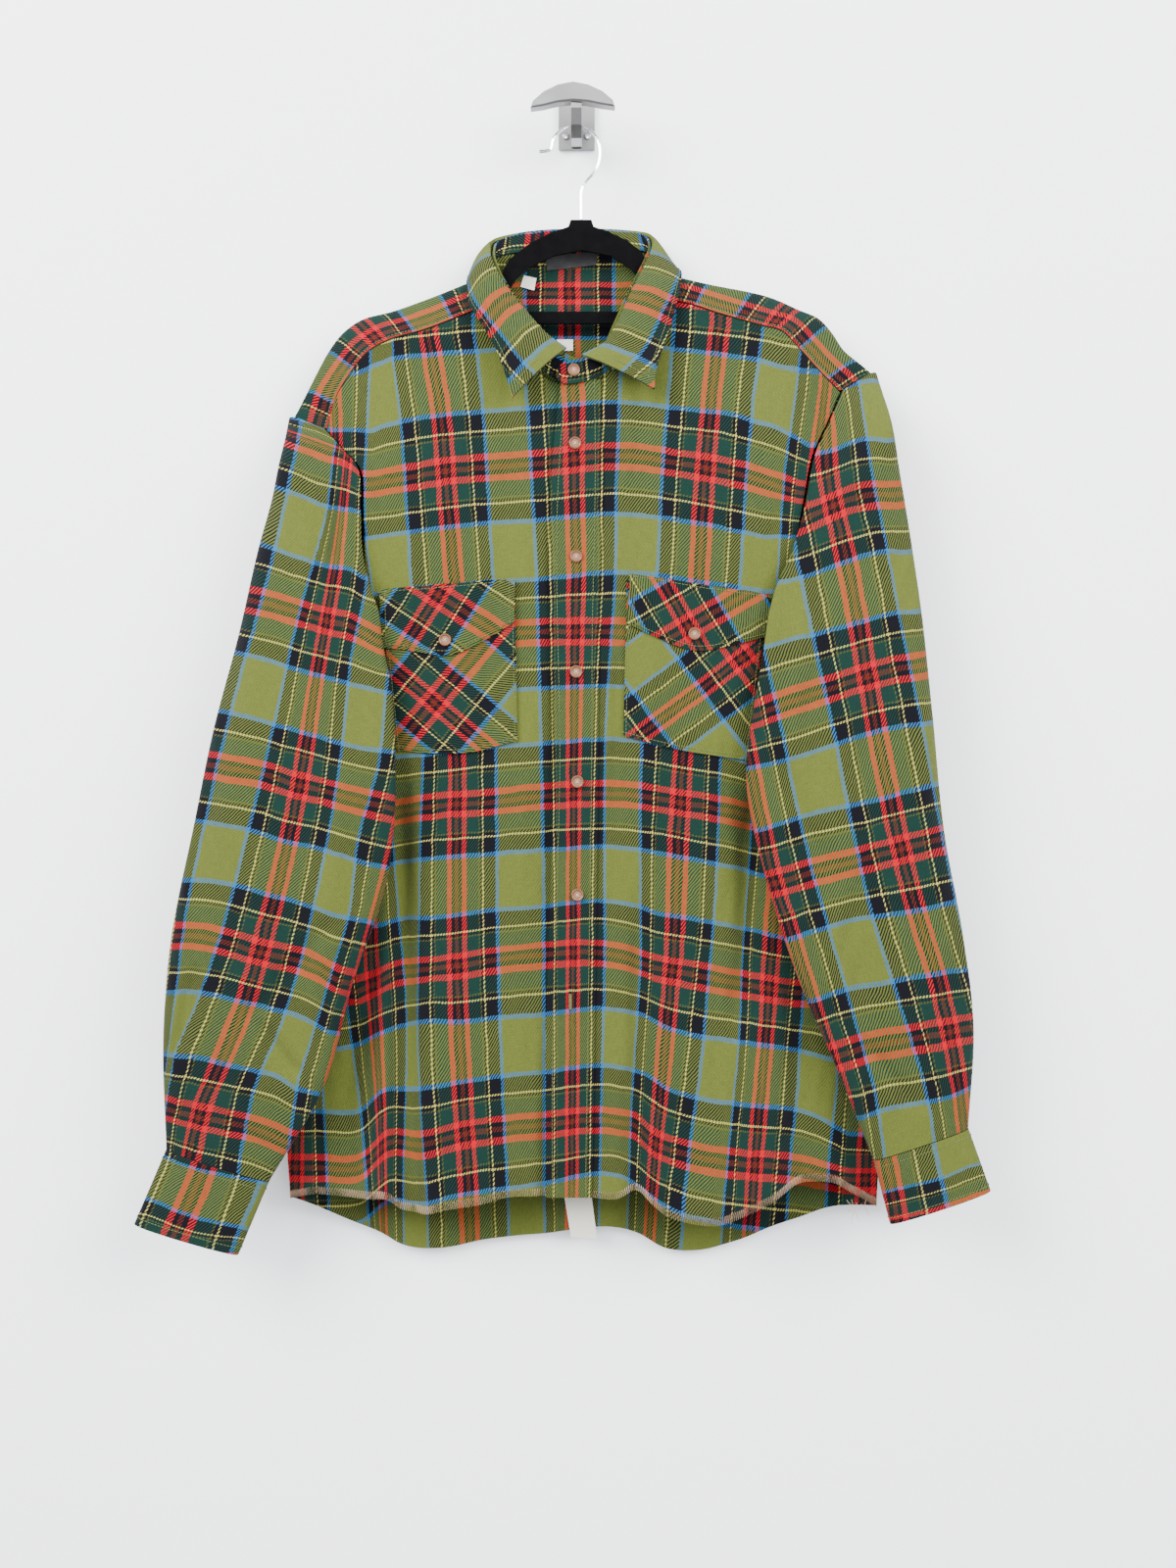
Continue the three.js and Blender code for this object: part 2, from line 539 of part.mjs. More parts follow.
function button(name, place, outward) {
  const lathe = new THREE.LatheGeometry(BUTTON_PROFILE.map(([r, h]) => new THREE.Vector2(r, h)), 14);
  const mesh = addMesh(name, lathe, "wood");
  mesh.position.copy(place).addScaledVector(outward, SEAM);
  mesh.quaternion.setFromUnitVectors(new THREE.Vector3(0, 1, 0), outward);
}
const OUT = new THREE.Vector3(0, -1, 0);
const PLACKET_BUTTONS = [[-1, -296], [0, -393], [0, -491], [1, -584], [1, -680]]; // x, z
PLACKET_BUTTONS.forEach(([x, z], k) => {
  const lie = placketSeam((z + 241) / (-938 + 241)).y - PLACKET_LIFT;
  button("button_" + (k + 1), new THREE.Vector3(x, lie - 0.5, z), OUT);
});
button("button_collar", new THREE.Vector3(-2, -65.5, -234.5), OUT);
button("button_pocket_right", onFront("left", -111, -464, FLAP_LIFT + 0.4), OUT);
button("button_pocket_left", onFront("right", 100, -459, FLAP_LIFT + 0.4), OUT);
for (const [side, wearer] of [["left", "right"], ["right", "left"]]) {
  const [top, foot] = cuffRing[side];
  const behind = FRONT_COLS + UNDER_COLS + 2;
  const p = mix(top[behind], foot[behind], 0.5);
  button("button_cuff_" + wearer, p.add(new THREE.Vector3(0, 0.6, 0)), new THREE.Vector3(0, 1, 0));
}

// Labels inside the back: blank strips just off the cloth. The corners are x, z, clockwise from the upper left.
const LABEL_T = 0.6;
const labelLift = LABEL_T + 0.9;
const inYoke = (x, z) => {
  const p = onSurface(yokePoint, x, z, [0.5 + x / 520, 0.3]);
  return new THREE.Vector3(x, p.y - CLOTH - labelLift, z);
};
const inBack = (x, z) => {
  const p = onSurface(backPoint, x, Math.max(z, -972), [0.5 + x / 520, 0.9]);
  return new THREE.Vector3(x, p.y - CLOTH - labelLift, z);
};
function label(name, corners, lie, finish) {
  const [tl, tr, br, bl] = corners;
  const flat = (a, b) => [
    tl[0] + (tr[0] - tl[0]) * a + (bl[0] - tl[0]) * b + (tl[0] - tr[0] - bl[0] + br[0]) * a * b,
    tl[1] + (tr[1] - tl[1]) * a + (bl[1] - tl[1]) * b + (tl[1] - tr[1] - bl[1] + br[1]) * a * b,
  ];
  addMesh(name, wall(gridOf(2, 4, (a, b) => lie(...flat(a, b))), LABEL_T, -1), finish);
}
label("label_neck", [[-27, -124], [19, -120], [17, -132], [-26, -137]], inYoke, "black");
label("label_size", [[-46, -142], [-35, -144], [-37, -155], [-49, -152]], inYoke, "white");
label("label_small", [[-17, -198], [-3, -198], [-3, -208], [-17, -208]], inYoke, "white");
label("label_care", [[-11, -946], [13, -946], [18, -984], [-5, -983]], inBack, "white");

// Hanger: a thin flocked frame with sloping arms and a bar. Columns are x, z.
const ARM_TOP = [[-213, -228], [-205, -214.5], [-187, -200], [-160, -190], [-129, -179], [-99, -170], [-81, -168],
  [-69, -156], [-62, -139], [-58, -132], [-41, -119], [-24, -110], [-7, -104], [-5, -98], [13, -98], [15, -104],
  [27, -108], [44, -116], [56, -125.6], [61, -134], [67.5, -153], [77, -166], [114, -169], [166, -178], [194, -189.5],
  [209, -198], [220, -212], [226, -225]];
const ARM_FOOT = [[222, -233], [210, -219], [188, -206], [164, -195], [140, -187], [-128, -188], [-158, -203],
  [-182, -212], [-196, -219], [-209, -232]];
const ARM_HOLE = [[-74, -177.6], [-62, -163], [-52, -149], [-41, -139], [-20, -129], [5, -124], [30, -129],
  [47, -140], [57, -153], [76, -177.3]];
const shapeOf = (rows) => new THREE.Shape(rows.map(([x, z]) => new THREE.Vector2(x, z)));
const frame = shapeOf([...ARM_TOP, ...ARM_FOOT]);
frame.holes.push(new THREE.Path([...ARM_HOLE].reverse().map(([x, z]) => new THREE.Vector2(x, z))));
const frameSolid = new THREE.ExtrudeGeometry(frame, { depth: HANGER_T, bevelEnabled: false });
frameSolid.rotateX(Math.PI / 2).translate(0, HANGER_Y + HANGER_T / 2, 0);
addMesh("hanger_frame", frameSolid, "black");

// Hanger hook: a wire from the frame's neck round a loop to a rounded tip
const LOOP = { x: -1, z: -37.4 };
const WIRE_FOOT = [[4, -97.4], [4, -84], [4.4, -72], [8, -65], [14.5, -57.5], [19, -49]];
const loopArc = [0, 30, 60, 90, 120, 150, 178].map((deg) => {
  const turn = (deg * Math.PI) / 180;
  return [LOOP.x + LOOP_R * Math.cos(turn), LOOP.z + LOOP_R * Math.sin(turn)];
});
const WIRE_TIP = [[-25.5, -37.8], [-32, -38.4]];
const wirePath = new THREE.CatmullRomCurve3(
  [...WIRE_FOOT, ...loopArc, ...WIRE_TIP].map(([x, z]) => new THREE.Vector3(x, HANGER_Y, z)), false, "centripetal");
const wireSection = new THREE.Shape().absarc(0, 0, WIRE_D / 2, 0, 2 * Math.PI);
addMesh("hanger_hook", new THREE.ExtrudeGeometry(wireSection, { steps: 44, curveSegments: 4, extrudePath: wirePath,
  bevelEnabled: false }), "chrome");

// Wall hook: plate, J arm and curved cap cast in one
function solid(geometry) {
  const bare = geometry.index ? geometry.toNonIndexed() : geometry;
  const position = bare.getAttribute("position");
  const seen = new Map();
  const vertProperties = [];
  const triVerts = [];
  for (let i = 0; i < position.count; i++) {
    const xyz = [position.getX(i), position.getY(i), position.getZ(i)];
    const key = xyz.map((v) => Math.round(v * 1e4)).join();
    if (!seen.has(key)) {
      seen.set(key, vertProperties.length / 3);
      vertProperties.push(...xyz);
    }
    triVerts.push(seen.get(key));
  }
  return new wasm.Manifold(new wasm.Mesh({ numProp: 3, vertProperties: new Float32Array(vertProperties),
    triVerts: new Uint32Array(triVerts) }));
}
function geometryOf(manifold) {
  const mesh = manifold.getMesh();
  const geometry = new THREE.BufferGeometry();
  geometry.setAttribute("position", new THREE.Float32BufferAttribute(mesh.vertProperties, 3));
  geometry.setIndex([...mesh.triVerts]);
  return geometry;
}
const ARM_W = 9;
const ARM_PROFILE = [[-2, -23], [-20, -27.5], [-38, -27.5], [-50, -20], [-57, -8], [-60, 2], [-52, 2], [-47, -10],
  [-40, -17.6], [-35, -18.8], [-26, -18.2], [-12, -12], [-2, -6]]; // y, z
const CAP_PROFILE = [[-39, -10], [-37, -4], [-28, 4], [-16, 10], [-3, 12.5], [10, 10], [22, 4.5], [31, -3], [33, -9],
  [22, -7.5], [10, -5], [-3, -4], [-16, -5.5], [-28, -8.5]]; // x, z
const CAP_DEPTH = 13;
const CAP_Y = -50;
const plate = new THREE.BoxGeometry(PLATE.w, PLATE.t, PLATE.h).translate(0, -PLATE.t / 2, 0);
const arm = new THREE.ExtrudeGeometry(shapeOf(ARM_PROFILE), { depth: ARM_W, bevelEnabled: false });
arm.applyMatrix4(new THREE.Matrix4().makeBasis(new THREE.Vector3(0, 1, 0), new THREE.Vector3(0, 0, 1),
  new THREE.Vector3(1, 0, 0))).translate(-ARM_W / 2, 0, 0);
const CAP_BEVEL = 1.5;
const cap = new THREE.ExtrudeGeometry(shapeOf(CAP_PROFILE), { depth: CAP_DEPTH - 2 * CAP_BEVEL,
  bevelThickness: CAP_BEVEL, bevelSize: CAP_BEVEL, bevelOffset: -CAP_BEVEL, bevelSegments: 1 });
cap.rotateX(Math.PI / 2).translate(0, CAP_Y - CAP_BEVEL, 0);
addMesh("wall_hook", geometryOf(solid(plate).add(solid(arm)).add(solid(cap))), "cast");

const SCREW_PROFILE = [[0, 0], [SCREW_D / 2, 0], [SCREW_D / 2, 0.8], [2.2, 1.8], [0, 2.1]];
[[-9.5, -14], [9.5, -14]].forEach(([x, z], k) => {
  const lathe = new THREE.LatheGeometry(SCREW_PROFILE.map(([r, h]) => new THREE.Vector2(r, h)), 12);
  const screw = addMesh("screw_" + (k + 1), lathe, "chrome");
  screw.position.set(x, -PLATE.t - SEAM, z);
  screw.quaternion.setFromUnitVectors(new THREE.Vector3(0, 1, 0), OUT);
});

export default shirt;
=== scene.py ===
import math

import bpy
import numpy as np
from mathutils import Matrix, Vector
from mathutils.bvhtree import BVHTree


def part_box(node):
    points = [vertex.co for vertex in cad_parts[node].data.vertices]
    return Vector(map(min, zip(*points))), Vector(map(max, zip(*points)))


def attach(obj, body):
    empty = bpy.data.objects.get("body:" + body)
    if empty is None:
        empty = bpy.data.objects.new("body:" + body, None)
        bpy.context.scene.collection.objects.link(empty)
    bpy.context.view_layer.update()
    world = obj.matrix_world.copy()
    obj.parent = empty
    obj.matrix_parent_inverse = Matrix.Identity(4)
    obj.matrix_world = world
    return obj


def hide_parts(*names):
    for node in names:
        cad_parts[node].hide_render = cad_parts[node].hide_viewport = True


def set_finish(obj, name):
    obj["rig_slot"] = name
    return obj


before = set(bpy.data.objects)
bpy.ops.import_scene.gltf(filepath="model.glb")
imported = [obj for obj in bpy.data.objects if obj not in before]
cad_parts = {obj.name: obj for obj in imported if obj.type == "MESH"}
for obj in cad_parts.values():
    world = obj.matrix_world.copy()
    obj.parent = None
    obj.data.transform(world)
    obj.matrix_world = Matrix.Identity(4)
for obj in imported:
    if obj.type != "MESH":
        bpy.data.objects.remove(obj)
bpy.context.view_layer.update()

MM = 0.001
CLOTH = 1.6  # thickness of the flannel
DOUBLED = 2.6  # thickness of a turned and stitched strip
WARP = 106.0  # width of one check
WEFT = 141.0  # height of one check
DYE = 0.42  # how deep the dyes are, as a share of their light
CHECK_SCALE = 0.87  # millimetres of bias-cut cloth to a pixel

# The view: camera place, and focal length in pixels of the 1200 x 1600 frame
VIEW = {"x": 10.0, "y": -1600.0, "z": -586.0, "focal": 1843.0}


def seen(p):
    """The pixel where each place shows."""
    reach = (p[..., 1] - VIEW["y"]) / VIEW["focal"]
    return 600 + (p[..., 0] - VIEW["x"]) / reach, 800 - (p[..., 2] - VIEW["z"]) / reach


def placed(px, py, y):
    """The place at depth y that shows at a pixel."""
    reach = (y - VIEW["y"]) / VIEW["focal"]
    return np.array([VIEW["x"] + (px - 600) * reach, y, VIEW["z"] - (py - 800) * reach])


def camera_and_lights():
    camera = bpy.data.objects.new("camera", bpy.data.cameras.new("camera"))
    camera.data.sensor_fit = "AUTO"
    camera.data.sensor_width = 36
    camera.data.lens = 36 * VIEW["focal"] / 1600
    camera.data.clip_start = 0.01
    camera.location = (VIEW["x"] * MM, VIEW["y"] * MM, VIEW["z"] * MM)
    camera.rotation_euler = (math.pi / 2, 0, 0)
    bpy.context.collection.objects.link(camera)
    bpy.context.scene.camera = camera
    for name, place, size, power, aim in (
        ("window_left", (-1.9, -2.1, 0.9), 1.9, 300, (0, 0, -0.6)),
        ("window_right", (2.1, -2.3, 0.7), 1.9, 235, (0, 0, -0.6)),
        ("soft_front", (0.1, -2.9, -0.2), 2.2, 80, (0, 0, -0.7)),
    ):
        light = bpy.data.objects.new(name, bpy.data.lights.new(name, "AREA"))
        light.data.shape = "SQUARE"
        light.data.size = size
        light.data.energy = power
        light.location = place
        light.rotation_euler = (Vector(aim) - Vector(place)).to_track_quat("-Z", "Y").to_euler()
        bpy.context.collection.objects.link(light)
    world = bpy.data.worlds.new("room")
    bpy.context.scene.world = world
    world.use_nodes = True
    world.node_tree.nodes["Background"].inputs["Color"].default_value = (0.93, 0.95, 1, 1)
    world.node_tree.nodes["Background"].inputs["Strength"].default_value = 1.05


# Curves, panels and sheets

def smooth(t):
    return t * t * (3 - 2 * t)


def clamp(t):
    return np.clip(t, 0, 1)


def mix(a, b, t):
    return a + (b - a) * np.asarray(t)[..., None]


def spline_piece(p0, p1, p2, p3, s):
    """A centripetal spline between p1 and p2."""
    d = [np.maximum(np.linalg.norm(b - a, axis=-1, keepdims=True) ** 0.5, 1e-3) for a,
         b in ((p0, p1), (p1, p2), (p2, p3))]
    m1 = ((p1 - p0) / d[0] - (p2 - p0) / (d[0] + d[1]) + (p2 - p1) / d[1]) * d[1]
    m2 = ((p2 - p1) / d[1] - (p3 - p1) / (d[1] + d[2]) + (p3 - p2) / d[2]) * d[1]
    return p1 + m1 * s + (3 * (p2 - p1) - 2 * m1 - m2) * s ** 2 + (2 * (p1 - p2) + m1 + m2) * s ** 3


def through(rows):
    """A smooth curve through table rows, read by its share of the length."""
    p = np.array(rows, float)
    p = np.vstack([2 * p[0] - p[1], p, 2 * p[-1] - p[-2]])
    s = np.linspace(0, 1, 24, endpoint=False)[:, None]
    dots = np.vstack([spline_piece(*p[k - 1:k + 3], s) for k in range(1, len(p) - 2)] + [p[-2][None]])
    length = np.r_[0, np.cumsum(np.linalg.norm(np.diff(dots, axis=0), axis=1))]
    return lambda t: np.stack([np.interp(np.asarray(t, float) * length[-1], length,
                                         dots[:, i]) for i in range(dots.shape[1])], -1)


def joined(parts):
    """Curves end to end, each with its own share of the way."""
    def curve(t):
        t = np.asarray(t, float)
        out = np.zeros(t.shape + (3,))
        start = 0.0
        for k, (share, part) in enumerate(parts):
            here = (t >= start) if k else np.ones(t.shape, bool)
            out[here] = part(clamp((t[here] - start) / share))
            start += share
        return out
    return curve


def grid_of(rows, cols):
    a, b = np.meshgrid(np.linspace(0, 1, cols + 1), np.linspace(0, 1, rows + 1))
    return a, b


def slopes(grid, closed):
    down = np.gradient(grid, axis=0)
    if closed:
        ring = np.concatenate([grid[:, -2:-1], grid, grid[:, 1:2]], 1)
        across = (ring[:, 2:] - ring[:, :-2]) / 2
    else:
        across = np.gradient(grid, axis=1)
    normal = np.cross(down, across)
    return normal / np.maximum(np.linalg.norm(normal, axis=-1, keepdims=True), 1e-9)


def sheet_mesh(name, grid, thickness, side, uv, uv_in=None, closed=False):
    """A closed wall of cloth on a grid of outer places, with its cloth coordinates in metres.
    side is 1 where the thickness is laid off along the cross product of down and across, -1 against it."""
    rows, cols = grid.shape[:2]
    ring = cols - 1 if closed else cols
    inner = grid + side * thickness * slopes(grid, closed)
    verts = np.concatenate([grid[:, :ring].reshape(-1, 3), inner[:, :ring].reshape(-1, 3)]) * MM
    uv_in = uv if uv_in is None else uv_in
    i, j = np.meshgrid(np.arange(rows - 1), np.arange(cols - 1), indexing="ij")
    i, j = i.ravel(), j.ravel()
    layer = rows * ring
    spot = lambda r, c, k: r * ring + c % ring + k * layer
    faces, marks = [], []

    def add(corners):
        faces.append(np.stack([spot(r, c, k) for r, c, k in corners], -1))
        marks.append(np.stack([(uv_in if k else uv)[r, c] for r, c, k in corners], -2))
    zero, one = 0, 1
    add([(i, j, zero), (i + 1, j, zero), (i + 1, j + 1, zero), (i, j + 1, zero)])
    add([(i, j, one), (i, j + 1, one), (i + 1, j + 1, one), (i + 1, j, one)])
    c = np.arange(cols - 1)
    first, last = np.zeros_like(c), np.full_like(c, rows - 1)
    add([(first, c, zero), (first, c + 1, zero), (first, c + 1, one), (first, c, one)])
    add([(last, c, zero), (last, c, one), (last, c + 1, one), (last, c + 1, zero)])
    if not closed:
        r = np.arange(rows - 1)
        near, far = np.zeros_like(r), np.full_like(r, cols - 1)
        add([(r, near, zero), (r, near, one), (r + 1, near, one), (r + 1, near, zero)])
        add([(r, far, zero), (r + 1, far, zero), (r + 1, far, one), (r, far, one)])
    faces, marks = np.concatenate(faces), np.concatenate(marks)
    corner = verts[faces]
    volume = np.einsum("ij,ij->", corner[:, 0], np.cross(corner[:, 1], corner[:, 2]))
    volume += np.einsum("ij,ij->", corner[:, 0], np.cross(corner[:, 2], corner[:, 3]))
    if volume < 0:
        faces, marks = faces[:, ::-1], marks[:, ::-1]
    return finish_mesh(name, verts, faces.tolist(), marks.reshape(-1, 2) * MM)


def finish_mesh(name, verts, faces, marks=None, crease=50):
    mesh = bpy.data.meshes.new(name)
    mesh.from_pydata(np.asarray(verts).tolist(), [], faces)
    if marks is not None:
        mesh.uv_layers.new(name="cloth").data.foreach_set("uv",
                                                          np.ascontiguousarray(marks,
                                                            dtype=np.float32).ravel())
    mesh.shade_smooth()
    mesh.set_sharp_from_angle(angle=math.radians(crease))
    piece = bpy.data.objects.new(name, mesh)
    bpy.context.collection.objects.link(piece)
    return piece


def seat(piece, material, slot_name, *nodes):
    piece.data.materials.clear()
    piece.data.materials.append(material)
    if nodes:
        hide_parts(*nodes)
    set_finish(piece, slot_name)
    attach(piece, "root")
    return piece


def ripple(x, z, seed, wave, stretch, count=9):
    """A sum of long soft waves, mostly along z, between about -1 and 1."""
    dice = np.random.default_rng(seed)
    total = 0
    for _ in range(count):
        size = wave * dice.uniform(0.6, 1.8)
        lean = dice.normal(0, 0.35)
        phase = dice.uniform(0, 6.28)
        total = total + np.sin(6.283 * ((x + lean * z / stretch) / size + z * dice.uniform(-1,
                                                            1) / (size * stretch)) + phase)
    return total / math.sqrt(count)


# Where the check lies on the cloth: lines of equal cloth place, in pixels

def line_at(knots, at):
    """A smooth line through knots, going on straight beyond them."""
    k = np.array(sorted(knots), float)
    x, y = k[:, 0], k[:, 1]
    slope = np.gradient(y, x)
    i = np.clip(np.searchsorted(x, at) - 1, 0, len(x) - 2)
    h = x[i + 1] - x[i]
    t = clamp((at - x[i]) / h)
    inside = (y[i] * (1 + 2 * t) * (1 - t) ** 2 + slope[i] * h * t * (1 - t) ** 2
              + y[i + 1] * t * t * (3 - 2 * t) + slope[i + 1] * h * t * t * (t - 1))
    return inside + (at - np.clip(at, x[0], x[-1])) * (y[-1] - y[0]) / (x[-1] - x[0]) * 0.7


def cloth_value(table, along, across, size=0.83):
    """Reads a table of cloth place: knots (along, across), at every pixel."""
    values = np.array(sorted(table))
    lines = np.array([line_at(table[v], along) for v in values])
    for k in range(1, len(values)):
        lines[k] = np.maximum(lines[k], lines[k - 1] + 5)
    i = np.clip((lines < across).sum(0), 1, len(values) - 1)
    low, high = np.take_along_axis(lines, (i - 1)[None], 0)[0], np.take_along_axis(lines, i[None], 0)[0]
    inside = values[i - 1] + (values[i] - values[i - 1]) * (np.clip(across, lines[0],
                                                            lines[-1]) - low) / (high - low)
    return inside + (across - np.clip(across, lines[0], lines[-1])) * size


def check_uv(lattice, p):
    """Cloth coordinates of each place from a lattice of columns and rows."""
    px, py = seen(p)
    return np.stack([cloth_value(lattice["columns"], py, px), cloth_value(lattice["rows"], px, py)], -1)


# Columns are knots y, x and rows are knots x, y, in pixels; the keys are cloth places in mm.
BODY = {
    "columns": {
        -316.9: [(1050, 306), (1210, 303)],
        -282.6: [(1110, 330), (1210, 335)],
        -245.2: [(500, 296), (1040, 357), (1150, 371), (1215, 376)],
        -210.9: [(500, 345), (700, 372), (980, 380), (1150, 389), (1215, 390)],
        -176.6: [(350, 380), (545, 374), (610, 381), (890, 404), (950, 409), (1000, 414), (1210, 412)],
        -139.2: [(370, 402), (430, 410), (510, 416), (590, 421), (770, 433), (850, 430), (950, 428),
                 (1050, 426), (1140, 430), (1215, 436)],
        -104.9: [(330, 436), (430, 452), (510, 458), (590, 465), (780, 467), (900, 467), (1000, 468),
                 (1100, 473), (1200, 479)],
        -70.6: [(330, 484), (420, 494), (500, 499), (590, 504), (770, 507), (860, 508), (960, 509),
                (1060, 512), (1140, 515), (1210, 519)],
        -33.0: [(330, 531), (415, 540), (500, 545), (580, 549), (650, 551), (760, 554), (850, 556),
                (940, 557), (1050, 557), (1220, 557)],
        21.0: [(430, 614), (500, 612), (570, 613), (690, 608), (1220, 600)],
        58.1: [(350, 668), (430, 662), (500, 658), (590, 654), (760, 638), (800, 638), (900, 641),
               (1000, 642), (1050, 639), (1150, 634), (1190, 633)],
        92.4: [(330, 717), (400, 710), (500, 701), (590, 696), (770, 681), (850, 675), (1000, 670),
               (1080, 663), (1220, 655)],
        126.7: [(330, 762), (400, 752), (480, 746), (590, 739), (760, 722), (850, 719), (960, 713),
                (1000, 708), (1100, 697), (1150, 689), (1220, 680)],
        164.1: [(350, 807), (400, 800), (470, 791), (580, 784), (780, 758), (880, 755), (960, 750),
                (1060, 745), (1150, 737), (1240, 727)],
        198.4: [(400, 831), (470, 820), (700, 800), (960, 772), (1060, 768), (1170, 758), (1240, 754)],
        232.7: [(800, 830), (1000, 808), (1060, 802), (1120, 797), (1200, 790)],
        270.1: [(800, 868), (1060, 841), (1100, 842), (1180, 832)],
        304.4: [(900, 885), (1180, 868)],
    },
    "rows": {
        -141.0: [(340, 322), (480, 300), (640, 296), (800, 310)],
        -95.4: [(365, 380), (400, 366), (440, 361), (480, 358), (540, 356), (640, 352), (680, 355),
                (740, 362), (770, 366), (800, 374), (820, 378)],
        -45.6: [(380, 440), (400, 433), (423, 428), (460, 423), (500, 420), (540, 417), (630, 411),
                (660, 413), (700, 418), (740, 422), (770, 430), (795, 438), (825, 455)],
        0.0: [(380, 494), (420, 487), (460, 480), (500, 477), (540, 474), (640, 465), (700, 474),
              (735, 480), (765, 487), (790, 495), (815, 503)],
        45.6: [(372, 549), (420, 542), (460, 537), (500, 533), (540, 531), (630, 524), (690, 530),
               (720, 535), (745, 540), (780, 547)],
        95.4: [(382, 607), (430, 600), (470, 597), (500, 594), (540, 592), (650, 585), (700, 592),
               (730, 596), (780, 604)],
        141.0: [(385, 662), (460, 652), (540, 645), (620, 645), (700, 648), (780, 660)],
        186.6: [(385, 722), (460, 710), (540, 703), (620, 700), (700, 706), (780, 720)],
        236.4: [(380, 778), (405, 773), (440, 770), (505, 762), (540, 760), (650, 756), (700, 765),
                (745, 773), (760, 778), (790, 790)],
        282.0: [(380, 836), (403, 830), (450, 822), (500, 819), (540, 814), (640, 811), (700, 820),
                (750, 829), (765, 833)],
        327.6: [(385, 884), (410, 879), (460, 874), (500, 871), (540, 868), (640, 865), (690, 873),
                (730, 881), (755, 886), (775, 893)],
        377.4: [(385, 945), (410, 938), (440, 937), (510, 929), (540, 927), (630, 921), (650, 925),
                (670, 932), (700, 937), (740, 944), (770, 950), (800, 958)],
        423.0: [(365, 1012), (385, 1003), (400, 995), (430, 990), (470, 985), (500, 980), (540, 975),
                (630, 975), (670, 988), (700, 993), (750, 1003), (810, 1013)],
        468.6: [(345, 1070), (365, 1065), (390, 1053), (430, 1042), (470, 1042), (510, 1038), (550, 1035),
                (630, 1030), (660, 1037), (680, 1048), (700, 1054), (750, 1062), (820, 1073), (845, 1080)],
        518.4: [(330, 1135), (370, 1132), (390, 1114), (420, 1112), (440, 1110), (480, 1103), (515, 1098),
                (550, 1095), (629, 1089), (665, 1100), (680, 1111), (700, 1118), (760, 1128), (830, 1138),
                (865, 1158)],
        564.0: [(330, 1192), (370, 1190), (395, 1167), (430, 1168), (470, 1158), (510, 1152), (550, 1148),
                (630, 1145), (650, 1150), (665, 1165), (690, 1175), (740, 1186), (810, 1192), (860, 1203)],
        609.6: [(330, 1250), (370, 1245), (395, 1226), (430, 1228), (470, 1219), (513, 1213), (550, 1208),
                (640, 1203), (675, 1228), (700, 1240), (725, 1246), (860, 1262)],
    },
}
